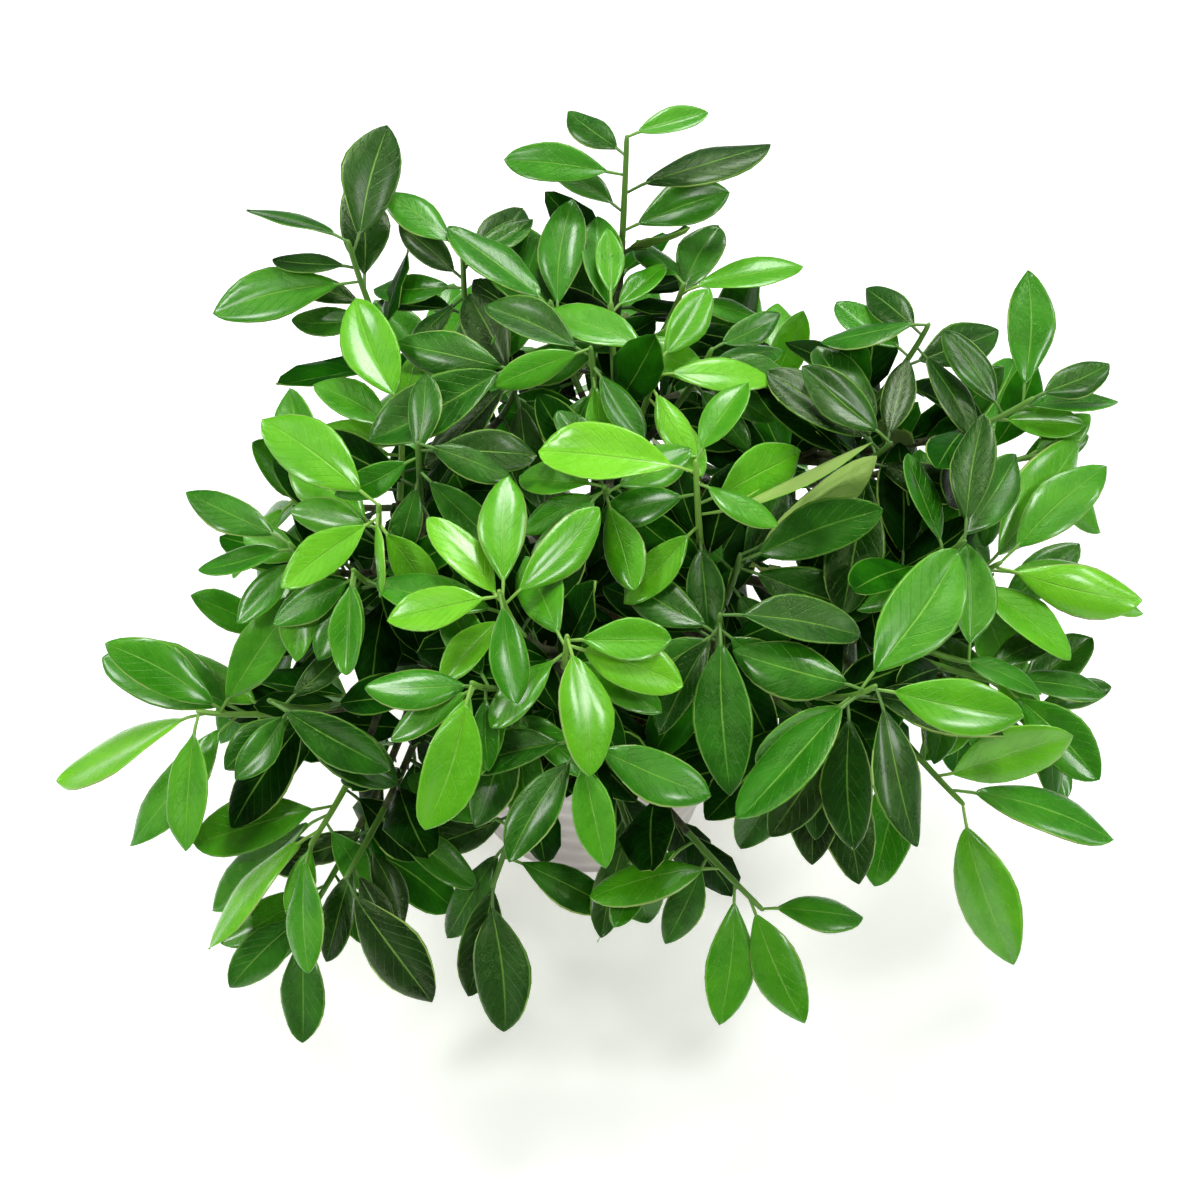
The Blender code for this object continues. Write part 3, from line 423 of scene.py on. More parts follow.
# Seen shoot: its bough, how far along the bough it starts, the pixels right and down where its tip shows,
# how far back the tip stands and the length of its leafy part in millimetres, and its leaves from the
# lowest up. A leaf is the pixels right and down where its tip shows, and if need be its lean toward the
# viewer and its roll in degrees.
SEEN_SHOOTS = {
    "top": ("back", 1.0, 627, 133, 60, 50, (
        (730, 191), (550, 163, -25, -20), (771, 143, None, 8), (506, 158, -10, -40), (582, 118, -30),
        (706, 112, None, 15))),
    "high_left": ("middle", 0.9, 550, 298, 15, 22, (
        (466, 281, -20), (499, 215, -38), (574, 197, -20), (431, 258, -30), (505, 352, 5))),
    "high_middle": ("middle", 1.0, 611, 300, 10, 20, (
        (511, 375), (714, 371), (600, 214, -35), (664, 262, -35), (607, 226, -30))),
    "high_front": ("middle", 1.0, 660, 350, -15, 25, (
        (700, 480, 15), (690, 452, 15), (775, 384), (708, 285, -25), (544, 309))),
    "high_front_left": ("middle", 0.8, 590, 345, -20, 22, (
        (575, 430), (600, 460), (643, 440), (484, 304), (492, 381))),
    "right_top": ("back", 0.8, 684, 282, 30, 22, (
        (638, 390), (720, 222, -30), (768, 326), (803, 266), (640, 240, -40))),
    "right_top_low": ("middle", 0.7, 712, 346, 0, 20, (
        (740, 440), (772, 420), (783, 350, -30), (786, 385, 5), (779, 312, -25))),
    "upper_left": ("back_left", 1.0, 347, 238, 32, 44, (
        (298, 320), (300, 285, -10), (352, 178, -30), (211, 313, None, -22), (290, 262, None, 10),
        (381, 121, -20, 45), (244, 210, None, 35))),
    "back_left_high": ("back_left", 0.8, 463, 250, 40, 24, (
        (420, 345), (372, 285, -30), (425, 246, -10), (520, 200, -40), (500, 238, -20), (382, 190))),
    "dark_left": ("back_left", 0.8, 522, 362, -25, 26, (
        (600, 449), (540, 509), (470, 290, -30), (430, 470), (398, 342), (366, 445))),
    "bright_left": ("left", 0.9, 401, 410, -40, 24, (
        (322, 455), (322, 430), (311, 385), (421, 344, -40), (352, 295))),
    "left": ("left", 1.0, 378, 503, -95, 24, (
        (285, 455, -25), (290, 510, -15), (434, 600), (271, 579), (368, 598, 0, 45), (259, 419))),
    "left_low": ("left", 0.9, 288, 541, -106, 26, (
        (245, 535, -30), (298, 660), (250, 610), (199, 573), (182, 493))),
    "left_inner": ("left", 0.8, 352, 568, -115, 20, (
        (445, 620), (320, 660), (275, 625), (352, 617), (347, 674))),
    "far_left": ("front_left", 1.0, 195, 712, -135, 34, (
        (160, 655), (262, 790), (95, 660), (132, 850, None, 10), (108, 645, 10), (302, 597, 15, 15),
        (52, 791, -14, 40), (186, 853, None, 25))),
    "left_under": ("front_left", 0.9, 268, 700, -150, 24, (
        (225, 770), (240, 775), (335, 655, -20), (394, 787, -10), (390, 770))),
    "low_left": ("front_left", 1.0, 308, 848, -172, 24, (
        (193, 845), (188, 905, None, 30), (360, 890), (212, 955, None, 40), (285, 918, 10),
        (318, 970, 15, 40))),
    "low_left_tip": ("front_left", 0.85, 305, 922, -182, 26, (
        (360, 915), (222, 945), (285, 985), (238, 1005), (307, 1042))),
    "hang_left": ("front_left", 0.75, 343, 880, -188, 40, (
        (472, 889), (290, 860), (395, 905), (330, 960), (385, 945), (435, 1000))),
    "hang_front": ("front", 0.8, 492, 890, -178, 44, (
        (520, 700), (415, 850), (400, 790), (420, 940), (614, 913), (458, 1002), (508, 1030))),
    "low_right": ("front", 0.9, 765, 912, -192, 44, (
        (603, 952, -18, 60), (668, 945, -18), (590, 901, 8, 30), (716, 1024), (803, 1021),
        (863, 923, -15))),
    "centre": ("front", 1.0, 567, 634, -162, 22, (
        (660, 712), (494, 730), (525, 560, -45), (683, 687), (673, 642), (586, 777))),
    "centre_left": ("front", 0.9, 499, 590, -142, 24, (
        (375, 585), (455, 670), (424, 520), (596, 506), (507, 477), (389, 623), (516, 702))),
    "front_low": ("front", 0.95, 582, 748, -192, 22, (
        (482, 700), (465, 770), (710, 798), (512, 861), (606, 867))),
    "front_left_mid": ("front", 0.9, 470, 682, -173, 24, (
        (445, 600, -20), (510, 770), (368, 690, 10), (390, 740), (440, 770), (425, 827))),
    "front_left_low": ("front", 0.8, 515, 714, -170, 22, (
        (440, 770), (535, 828), (478, 826), (556, 748), (460, 772))),
    "crown": ("front_right", 0.8, 695, 459, -83, 44, (
        (706, 630), (627, 606), (868, 437, 0, 110), (869, 462, None, 35), (585, 508), (767, 524, 8),
        (537, 453), (750, 384, -15))),
    "crown_left": ("middle", 0.8, 604, 486, -90, 24, (
        (663, 592), (689, 447, -30), (557, 411, -30), (530, 530), (534, 573), (495, 436))),
    "centre_right": ("front_right", 0.8, 720, 612, -130, 24, (
        (626, 581), (630, 690), (800, 690), (660, 734), (733, 797), (860, 640))),
    "right_front": ("front_right", 1.0, 878, 684, -160, 30, (
        (1040, 738, -12, -30), (853, 850), (757, 762), (964, 552), (741, 819, 14, 40), (737, 654),
        (1027, 719), (913, 846))),
    "right_under": ("front_right", 0.85, 838, 738, -160, 24, (
        (858, 885), (745, 850, -20), (800, 868, -10), (815, 840), (768, 835, 5))),
    "right_low": ("right", 0.9, 966, 806, -165, 42, (
        (873, 886), (900, 660, 0, 60), (1068, 720, 22, 30), (1114, 848, None, -25),
        (1017, 961, None, 50))),
    "right_mid": ("right", 0.9, 1008, 684, -120, 26, (
        (920, 764), (985, 755), (1068, 640), (1060, 740), (1106, 700), (1099, 778, None, 30))),
    "right": ("right", 1.0, 1003, 560, -75, 26, (
        (925, 450, -20), (1062, 664, 15), (1040, 690), (1085, 435, None, 30), (1163, 626, -20),
        (1145, 598, None, 30), (1115, 466))),
    "right_inner": ("right", 0.8, 968, 540, -85, 24, (
        (870, 603), (906, 455, -10, 30), (1020, 455, -20), (992, 413, -20))),
    "right_mid_inner": ("right", 0.8, 972, 664, -118, 22, (
        (880, 689), (1037, 710), (968, 545, -15))),
    "upper_right": ("back_right", 1.0, 1036, 397, -15, 30, (
        (920, 490), (1086, 425), (941, 333, 5), (1120, 404), (1031, 269, -10), (1111, 364))),
    "right_edge": ("back_right", 0.9, 1052, 452, -25, 24, (
        (984, 540), (1062, 445, -20), (1055, 440), (1126, 530), (1137, 468))),
    "high_back_right": ("back_right", 0.9, 931, 322, 10, 28, (
        (1003, 326, -30), (842, 300, -30), (970, 436), (873, 285, -40), (824, 345))),
    "inner_right": ("back_right", 0.8, 893, 442, -50, 26, (
        (972, 500), (842, 618), (820, 345, -30), (768, 374), (912, 358, -25), (806, 364))),
    "inner_middle": ("front_right", 0.7, 740, 552, -80, 26, (
        (640, 600), (780, 660), (785, 480, -20), (650, 504), (878, 612), (880, 510, 10),
        (906, 468, 0, 125))),
    "inner_left": ("left", 0.8, 418, 440, -75, 24, (
        (395, 560), (500, 545), (426, 372, -20), (344, 490), (535, 455), (510, 480))),
    "hang_middle": ("front", 0.7, 640, 860, -165, 30, (
        (668, 943), (600, 940), (640, 950))),
    "right_far_low": ("right", 0.85, 1045, 710, -110, 26, (
        (920, 760), (930, 640), (1095, 640), (1062, 800), (1104, 690), (1042, 800))),
}

# Hidden shoot: its bough, how far along the bough it starts, its tip and the length of its leafy part in
# millimetres, and how many leaves stand round it in a spiral.
HIDDEN_SHOOTS = {
    "rear_high_left": ("back_left", 0.9, (-70, 75, 225), 30, 7),
    "rear_high": ("back", 0.9, (-5, 85, 225), 30, 7),
    "rear_high_right": ("back", 0.7, (72, 75, 222), 30, 7),
    "rear": ("rear_right", 0.8, (10, 135, 165), 30, 7),
    "rear_left": ("rear_left", 1.0, (-80, 130, 160), 30, 7),
    "rear_right": ("rear_right", 1.0, (100, 115, 175), 30, 7),
    "rear_left_low": ("rear_left", 0.8, (-35, 165, 115), 30, 7),
    "rear_right_low": ("rear_right", 0.9, (60, 165, 115), 30, 7),
    "side_left": ("rear_left", 0.8, (-145, 45, 160), 30, 7),
    "side_left_low": ("left", 0.6, (-150, -40, 150), 30, 7),
    "side_right": ("back_right", 0.7, (180, 50, 190), 30, 7),
    "side_right_low": ("right", 0.7, (190, -30, 150), 30, 7),
}

STUB_LENGTH = 5 * MM
STUB_RADII = (0.9 * MM, 0.7 * MM, 0.4 * MM)
STUB_SIDES = 6
STUB_SPACING = 28 * MM
WOOD_SIDES = 10


def bend(start, control, end, t):
    """Point of a quadratic curve."""
    return start * (1 - t) ** 2 + control * 2 * t * (1 - t) + end * t**2


def trunk_point(height):
    """The trunk's middle line leans and bends a little."""
    rise = (height - TRUNK_FOOT) / (TRUNK_TOP - TRUNK_FOOT)
    return Vector((5 * MM * sin(2.6 * rise), 4 * MM * sin(3.4 * rise), height))


def bough_path(name):
    height, end = BOUGHS[name]
    start = trunk_point(height * MM)
    end = Vector(end) * MM
    rise = end.z - start.z
    control = Vector((0.45 * end.x, 0.45 * end.y, start.z + 0.75 * rise))
    return [bend(start, control, end, step / PATH_STEPS) for step in range(PATH_STEPS + 1)]


def bough_points(name):
    """The points that the bough's tube runs through."""
    return bough_path(name)[:: PATH_STEPS // BOUGH_PIECES]


def twig_path(bough, fork, tip):
    """From the bough, out and then up to a tip above it, or down and then out to a tip below it."""
    path = bough_path(bough)
    start = path[round(fork * PATH_STEPS)]
    way = tip - start
    if way.z > 10 * MM:
        control = Vector((start.x + 0.7 * way.x, start.y + 0.7 * way.y, start.z + 0.35 * way.z))
    else:
        control = start + 0.3 * way - UP * SAG * way.length
    return [bend(start, control, tip, step / PATH_STEPS) for step in range(PATH_STEPS + 1)]


def path_length(path):
    return sum((b - a).length for a, b in zip(path, path[1:]))


def point_from_tip(path, distance):
    """Place and heading on the path at this distance before its end."""
    for near, far in zip(path[::-1], path[-2::-1]):
        step = (near - far).length
        if distance <= step:
            return near.lerp(far, distance / step), (near - far).normalized()
        distance -= step
    return path[0], (path[1] - path[0]).normalized()


def stem_points(path, leafy, count=3):
    """Points of a shoot's own leafy stem, from its foot to its tip."""
    return [point_from_tip(path, leafy * (1 - step / (count - 1)))[0] for step in range(count)]


def twig_points(path, leafy):
    """Points of the bare twig, from inside the bough to the gap before the shoot."""
    count = 4 if (path[-1] - path[0]).length > LONG_TWIG else 3
    whole = path_length(path)
    end = leafy + SEAT_GAP
    return [point_from_tip(path, whole + (end - whole) * step / (count - 1))[0] for step in range(count)]


def leaf_places(leaves, leafy):
    """How far each leaf is from the stem's tip: the given ones from the lowest up, then older ones."""
    if isinstance(leaves, int):
        return [STEM_END + (leafy - STEM_END) * number / (leaves - 1) for number in range(leaves)]
    count = len(leaves)
    places = [STEM_END + (leafy - STEM_END) * (1 - number / (count - 1)) for number in range(count)]
    old = OLD_LEAVES if leafy <= LONG_STEM else 0
    return places + [leafy + OLD_SPACING * (number + 1) for number in range(old)]


def leafy_length(name):
    """Length of a shoot's own stem, from its foot to its tip."""
    leafy, leaves = SHOOTS[name][3:]
    return max(leaf_places(leaves, leafy * MM)) + STEM_LEAD


def taper(first, last, count):
    return [first + (last - first) * step / (count - 1) for step in range(count)]


def add_tube(shape, points, radii, sides):
    """A tube through the points, bridged from ring to ring and closed at both ends."""
    rings = []
    for number, (point, radius) in enumerate(zip(points, radii)):
        ahead = points[min(number + 1, len(points) - 1)] - points[max(number - 1, 0)]
        place = Matrix.Translation(point) @ ahead.to_track_quat("Z", "Y").to_matrix().to_4x4()
        corners = bmesh.ops.create_circle(shape, segments=sides, radius=radius, matrix=place)["verts"]
        rings.append(list({edge for corner in corners for edge in corner.link_edges}))
    for near, far in zip(rings, rings[1:]):
        bmesh.ops.bridge_loops(shape, edges=near + far)
    for ring in (rings[0], rings[-1]):
        bmesh.ops.contextual_create(shape, geom=ring)


def dye(shape, age, material=0):
    """Gives the faces that have no age yet this age, from OLDEST to young at 1, and this material."""
    ages = shape.faces.layers.float["age"]
    for face in shape.faces:
        if face[ages] == 0:
            face[ages] = max(age, OLDEST)
            face.material_index = material


def citrus_bark():
    """Finely cracked bark, grey-brown when old and olive green when young."""
    material, add, shader = new_material("citrus bark", 0.75)
    place = add("TexCoord").outputs["Object"]
    age = add("Attribute", attribute_name="age").outputs["Fac"]
    crack = add("TexNoise", {"Vector": place, "Scale": 1 / BARK_CRACK, "Detail": 6, "Roughness": 0.65})
    old = add("ValToRGB", [crack], ((0.35, "#1d1812"), (0.7, "#5c4f3e")))
    young = add("ValToRGB", [crack], ((0.3, "#23300f"), (0.7, "#4d6a22")))
    mix = add("Mix", {0: age, 6: old, 7: young}, data_type="RGBA").outputs[2]
    bump = add("Bump", {"Height": crack, "Strength": 0.6, "Distance": CRACK_DEPTH})
    set_inputs(shader, {"Base Color": mix, "Normal": bump})
    return material


wood_shape = bmesh.new()
wood_shape.faces.layers.float.new("age")
heights = taper(TRUNK_FOOT, TRUNK_TOP, TRUNK_RINGS)
girth = taper(TRUNK_RADIUS, TRUNK_TOP_RADIUS, TRUNK_RINGS)
girth = [radius * (1 + 0.06 * sin(5 * number)) for number, radius in enumerate(girth)]
add_tube(wood_shape, [trunk_point(height) for height in heights], girth, TRUNK_SIDES)
dye(wood_shape, OLDEST)
for name in BOUGHS:
    path = bough_path(name)[::2]
    add_tube(wood_shape, path, taper(BOUGH_RADIUS, BOUGH_END_RADIUS, len(path)), WOOD_SIDES)
dye(wood_shape, BOUGH_AGE)

# A leaf's cage: rings of three points round its stalk's root and end, at two places of the blade, and
# its tip.
RINGS = 4
LEAF_FACES = [(0, 1, 2)]
for ring in range(RINGS - 1):
    for side in range(3):
        near, beside = 3 * ring + side, 3 * ring + (side + 1) % 3
        LEAF_FACES += [(near, near + 3, beside), (beside, near + 3, beside + 3)]
LEAF_FACES += [(3 * RINGS - 3 + side, 3 * RINGS, 3 * RINGS - 3 + (side + 1) % 3) for side in range(3)]
BLADE_FACES = LEAF_FACES[7:]

Leaf = collections.namedtuple("Leaf", "root base along face side length width arch")


class Crown:
    """What has been placed so far, to keep each new piece clear of it."""

    def __init__(self):
        self.leaves = []
        self.wood = []

    def add_wood(self, owner, points, radius, leafy):
        for near, far in zip(points, points[1:]):
            steps = max(1, ceil((far - near).length / (2 * MM)))
            for step in range(steps):
                self.wood.append((near.lerp(far, step / steps), radius, owner, leafy))
        self.wood.append((points[-1], radius, owner, leafy))

    def wood_is_clear(self, points, radius, leafy):
        """A leafy stem keeps clear of all wood, and a bare twig of the leafy stems."""
        samples = [near.lerp(far, step / 8) for near, far in zip(points, points[1:]) for step in range(9)]
        for place, other, _, other_leafy in self.wood:
            if not (leafy or other_leafy):
                continue
            reach = radius + other + CLEAR
            if any((sample - place).length < reach for sample in samples):
                return False
        return True

    def leaf_is_clear(self, owner, leaf):
        """Clear of the pot, of all wood and of all leaves, but for its stalk among its own shoot's."""
        if any(inside_pot(point) for point in leaf_points(leaf, CLEAR)):
            return False
        middle, reach, whole, blade = caged(leaf, CLEAR)
        for place, radius, other, leafy in self.wood:
            if (place - middle).length > reach:
                continue
            own = owner == other and leafy
            if (blade if own else whole).find_nearest(place, radius + CLEAR)[0] is not None:
                return False
        for other, centre, size, tree, other_blade in self.leaves:
            if (centre - middle).length > reach + size:
                continue
            if other == owner and blade.overlap(other_blade):
                return False
            if other != owner and whole.overlap(tree):
                return False
        return True

    def first_clear(self, owner, leaves):
        """Keeps the first of these leaves that is clear, in a list, or none."""
        for leaf in leaves:
            if self.leaf_is_clear(owner, leaf):
                self.leaves.append((owner, *caged(leaf)))
                return [leaf]
        return []


def caged(leaf, grow=0.0):
    """A leaf's middle, how far it reaches from there, and search trees of its cage and of its blade."""
    points = leaf_points(leaf, grow)
    whole = BVHTree.FromPolygons(points, LEAF_FACES)
    return midrib(leaf, 0.4)[0], 0.75 * leaf.length, whole, BVHTree.FromPolygons(points, BLADE_FACES)


def inside_pot(point):
    """Whether a point is inside the pot's outline, near it, or too near the floor."""
    if point.z < FLOOR_CLEAR:
        return True
    if point.z > POT_HEIGHT + RIM_CLEAR:
        return False
    share = min(max(point.z / POT_HEIGHT, 0), 1)
    radius = POT_BASE_RADIUS + (POT_RIM_RADIUS - POT_BASE_RADIUS) * share
    return hypot(point.x, point.y) < radius + POT_CLEAR


def half_width(t):
    """Half the blade's width at t from its base to its tip, as a share of its full width."""
    return 0.5 * sin(pi * t) ** 0.7


def midrib(leaf, t):
    """Place, heading and upper face of the midrib, an arc from the blade's base at 0 to its tip at 1."""
    first = leaf.arch / 2
    now = first - leaf.arch * t
    radius = leaf.length / leaf.arch
    ahead = radius * (sin(first) - sin(now))
    above = radius * (cos(now) - cos(first))
    place = leaf.base + leaf.along * ahead + leaf.face * above
    heading = leaf.along * cos(now) + leaf.face * sin(now)
    return place, heading, leaf.face * cos(now) - leaf.along * sin(now)


def leaf_points(leaf, grow=0.0):
    """Points of a leaf's cage: a three-sided stalk, then a thin blade with a keel under its midrib."""
    _, _, face = midrib(leaf, 0)
    points = []
    for place in (leaf.root, leaf.base):
        for angle in (30, 150, 270):
            turn = radians(angle)
            offset = leaf.side * cos(turn) + face * sin(turn)
            points.append(place + offset * (STALK_RADIUS + grow))
    for t in SECTIONS:
        place, _, face = midrib(leaf, t)
        reach = leaf.side * (leaf.width * half_width(t) + grow)
        points += [place + reach + face * grow, place - reach + face * grow]
        points.append(place - face * (BLADE_THICKNESS + grow))
    place, heading, _ = midrib(leaf, 1)
    points.append(place + heading * grow)
    return points


def default_lean(clock):
    """Leaves lean from the viewer, most where they point up in the view and hardly where they hang."""
    return radians(-12 + 14 * max(0, -sin(clock)) - 10 * max(0, sin(clock)))


def seen_heading(clock, lean):
    flat = SEEN_RIGHT * cos(clock) + SEEN_UP * sin(clock)
    return flat * cos(lean) + SEEN_NEAR * sin(lean)


def spiral_heading(stem, number, draw):
    """Leaves turn round the stem, close to it at its tip and far from it lower down, and droop a little."""
    across = stem.orthogonal().normalized()
    around = stem.cross(across)
    turn = TURN * number + either_way(draw, 0.3)
    tilt = radians(min(MOST_TILT, TIP_TILT + TILT_STEP * number) + either_way(draw, TILT_PLAY))
    outward = across * cos(turn) + around * sin(turn)
    heading = stem * cos(tilt) + outward * sin(tilt)
    return (heading - UP * draw.uniform(0.1, 0.4)).normalized()


def make_leaf(root, heading, length, roll, draw):
    """A leaf whose upper face turns up, outward and, less and less toward the back, to the viewer."""
    front = min(max((LIT_DEPTH - root.y) / LIT_DEPTH, 0), 1)
    light = UP + 0.35 * Vector((root.x, root.y, 0)).normalized() + 0.7 * front * SEEN_NEAR
    face = (light - heading * light.dot(heading)).normalized()
    side = heading.cross(face)
    face = face * cos(roll) + side * sin(roll)
    side = heading.cross(face)
    arch = radians(draw.uniform(12, 26) + 300 * length)
    first = heading * cos(arch / 2) + face * sin(arch / 2)
    base = root + first * length * STALK_SHARE
    width = length * BLADE_WIDTH * draw.uniform(0.86, 1.14)
    return Leaf(root, base, heading, face, side, length, width, arch)


def in_view(point):
    """Where a point shows in the view, in pixels right and down, and how far it is from the eye."""
    away = point - VIEW_EYE
    depth = -away.dot(SEEN_NEAR)
    right = VIEW_SIZE / 2 + VIEW_FOCAL * away.dot(SEEN_RIGHT) / depth
    down = VIEW_SIZE / 2 - VIEW_FOCAL * away.dot(SEEN_UP) / depth
    return right, down, depth


def from_view(right, down, back):
    """The point that shows at these pixels and stands this far back."""
    across = SEEN_RIGHT * ((right - VIEW_SIZE / 2) / VIEW_FOCAL)
    upward = SEEN_UP * ((VIEW_SIZE / 2 - down) / VIEW_FOCAL)
    ray = across + upward - SEEN_NEAR
    return VIEW_EYE + ray * ((back - VIEW_EYE.y) / ray.y)


def aimed_leaf(root, right, down, lean=None, roll=None):
    """A leaf's heading, length and, where given, lean and roll, in whole degrees and millimetres."""
    root_right, root_down, depth = in_view(root)
    clock = atan2(root_down - down, right - root_right)
    used = default_lean(clock) if lean is None else radians(lean)
    seen = hypot(down - root_down, right - root_right) * depth / VIEW_FOCAL
    length = round(seen / cos(used) / LEAF_REACH / MM)
    leaf = (round(degrees(clock)), min(max(length, SHORTEST_LEAF), LONGEST_LEAF))
    if roll is not None:
        return (*leaf, round(degrees(used)) if lean is None else lean, roll)
    return leaf if lean is None else (*leaf, lean)


def placed_shoot(bough, fork, right, down, back, leafy, leaves):
    """A seen shoot in millimetres and degrees: its bough, fork, tip, leafy length and leaves."""
    tip = tuple(round(value / MM) for value in from_view(right, down, back * MM))
    path = twig_path(bough, fork, Vector(tip) * MM)
    places = leaf_places(leaves, leafy * MM)
    aimed = [aimed_leaf(point_from_tip(path, place)[0], *leaf) for place, leaf in zip(places, leaves)]
    return bough, fork, tip, leafy, tuple(aimed)


def grow_shoot(crown, name):
    """Finds a clear path for a shoot's twig and stem, which later pieces then keep clear of."""
    bough, fork, tip = SHOOTS[name][:3]
    leafy = leafy_length(name)
    draw = Random(name)
    path = twig_path(bough, fork, Vector(tip) * MM)
    for attempt in range(TRIES):
        stem, twig = stem_points(path, leafy), twig_points(path, leafy)
        if crown.wood_is_clear(stem, STEM_RADIUS, True) and crown.wood_is_clear(twig, TWIG_RADIUS, False):
            break
        shift = Vector([either_way(draw, 1) for _ in range(3)]) * attempt * 0.5 * MM
        path = twig_path(bough, fork, Vector(tip) * MM + shift)
    crown.add_wood(name, twig, TWIG_RADIUS, False)
    crown.add_wood(name, stem, STEM_RADIUS, True)
    return path


def choose_leaf(name, number, root, stem, loose, draw):
    """A leaf as listed or in the spiral; the looser, the further it may stray to find a clear place."""
    leaves = SHOOTS[name][4]
    if isinstance(leaves, tuple) and number < len(leaves):
        clock, length, *rest = leaves[number]
        clock = radians(clock + either_way(draw, STRAY_CLOCK) * loose)
        lean = radians(rest[0]) if rest else default_lean(clock)
        roll = radians(rest[1] if len(rest) > 1 else either_way(draw, SEEN_ROLL))
        heading = seen_heading(clock, lean + radians(either_way(draw, STRAY_LEAN) * loose))
    else:
        length = draw.uniform(*SPIRAL_LENGTHS)
        roll = radians(either_way(draw, SPIRAL_ROLL))
        heading = spiral_heading(stem, number, draw)
    roll += radians(either_way(draw, STRAY_ROLL) * loose)
    return make_leaf(root, heading, length * MM * (1 - SHRINK * loose), roll, draw)


def grow_leaves(crown, name, path, old):
    """The shoot's young leaves, or the old ones below them."""
    leafy, leaves = SHOOTS[name][3:]
    young = leaves if isinstance(leaves, int) else len(leaves)
    grown = []
    for number, distance in enumerate(leaf_places(leaves, leafy * MM)):
        if (number >= young) != old:
            continue
        root, stem = point_from_tip(path, distance)
        draw = Random(f"{name} {number}")
        tries = (choose_leaf(name, number, root, stem, attempt / TRIES, draw) for attempt in range(TRIES))
        grown += crown.first_clear(name, tries)
    return grown


SHOOTS = {name: placed_shoot(*row) for name, row in SEEN_SHOOTS.items()} | HIDDEN_SHOOTS
crown = Crown()
for name in BOUGHS:
    crown.add_wood(name, bough_points(name), BOUGH_RADIUS, False)
paths = {name: grow_shoot(crown, name) for name in SHOOTS}
for name, path in paths.items():
    whole = path_length(path)
    bare = whole - leafy_length(name)
    points = [point_from_tip(path, whole - bare * step / TWIG_STEPS)[0] for step in range(TWIG_STEPS + 1)]
    add_tube(wood_shape, points, taper(TWIG_RADIUS, STEM_RADIUS, len(points)), TWIG_SIDES)
    dye(wood_shape, TWIG_AGE)
    draw = Random(f"stubs {name}")
    for number in range(int(bare / STUB_SPACING)):
        foot, ahead = point_from_tip(path, whole - STUB_SPACING * (number + draw.uniform(0.3, 0.8)))
        across = ahead.orthogonal().normalized()
        outward = across * cos(number) + ahead.cross(across) * sin(number)
        end = foot + (outward + 0.5 * ahead) * STUB_LENGTH * draw.uniform(0.5, 1.1)
        add_tube(wood_shape, [foot, (foot + end) / 2, end], STUB_RADII, STUB_SIDES)
        dye(wood_shape, STUB_AGE)
wood = add_piece("trunk_boughs_and_twigs", wood_shape, citrus_bark())
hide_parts("trunk")
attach(wood, "root")

# Leafy shoots. Each is a green stem with its leaves: a jointed stalk, then a pointed blade that folds a
# little along its midrib, with wavy edges and a thin pale rim. The skin is waxy, so each half of a blade
# draws its own streak of gloss. Young leaves are bright yellow-green, old ones dark, and undersides pale.
BLADE_SKIN = 0.5 * MM
LENGTHWAYS = 6
ACROSS = 4
STALK_SIDES = 5
STALK_RADII = (1.0, 0.8, 0.95, 1.05, 0.7, 0.4)
UNDER_RIB = (0.12, 0.25)
OUTLINE_WAVE = 0.07
TWIST_START = 0.3
LEVEL_AT = 0.45
BLUNT_BASE = 0.9
BASE_WIDTH = 0.5 * MM
BLADE_MERGE = 0.05 * MM
UNDER_LIMIT = -0.3
STEM_OVERLAP = 2 * MM
STEM_STEPS = 9
STEM_SIDES = 8
VEIN_PAIRS = 12
PLAIN_AGE = 0.5

# Ages, from old at 0 to young at 1, of shoots and of single leaves, which count up from the lowest at 0.
# The others have PLAIN_AGE.
SHOWN_AGES = {
    0.12: "upper_left 5",
    0.15: "right_under, inner_right",
    0.2: "hang_left, dark_left, upper_left 2",
    0.25: "left_under, hang_middle, high_left 0",
    0.3: "hang_front, inner_middle, right_inner, top 2, right_front 0, right_front 4",
    0.35: "centre_right, inner_left, upper_left, high_back_right, back_left_high, upper_left 3, "
          "right_front 7, upper_right 2, upper_right 4",
    0.4: "high_left, rear_high, low_right 5",
    0.45: "low_right, top, right_front 1, low_right 4, crown 0",
    0.5: "right_front 3, low_right 2",
    0.55: "right_front, low_right 3, crown 4",
    0.6: "right, high_middle, right_top, front_left_mid, right_low 4, low_left 0",
    0.65: "far_left, low_left, far_left 5, far_left 7",
    0.7: "high_front, right_front 6, right 5, right 6",
    0.75: "left, centre_left, right_low 3, centre 5",
    0.8: "bright_left, centre, crown, right_low 2",
    0.85: "far_left 6",
}
AGES = {name: age for age, names in SHOWN_AGES.items() for name in names.split(", ")}
OLD_AGE = 0.15
# Inner leaves are darkened partly for their age and partly as painted shade for the deep crown.
INNER_AGE_AND_SHADE = 0.1
DARKEST = 0.06

# How leaves differ: each part of a look is drawn between these ends, fold and twist in degrees.
LOOK_ENDS = {
    "fold": (22, 46), "bulge": (0.35, 0.75), "bow": (-0.05, 0.05), "wave": (0.012, 0.032),
    "waves": (1.2, 2.6), "phase": (0, 6), "twist": (-26, 26), "broad": (0.95, 1.15), "tip": (0.42, 0.7)}
AGE_ENDS = (-0.25, 0.2)
Look = collections.namedtuple("Look", [*LOOK_ENDS, "age"])


def look_of(name, age):
    """How a leaf differs from its neighbours: its fold, sideways bow, waves, twist, outline and age."""
    draw = Random(f"look {name}")
    look = {part: draw.uniform(*ends) for part, ends in LOOK_ENDS.items()}
    look.update(fold=radians(look["fold"]), twist=radians(look["twist"]))
    return Look(**look, age=min(max(age + draw.uniform(*AGE_ENDS), DARKEST), 1))


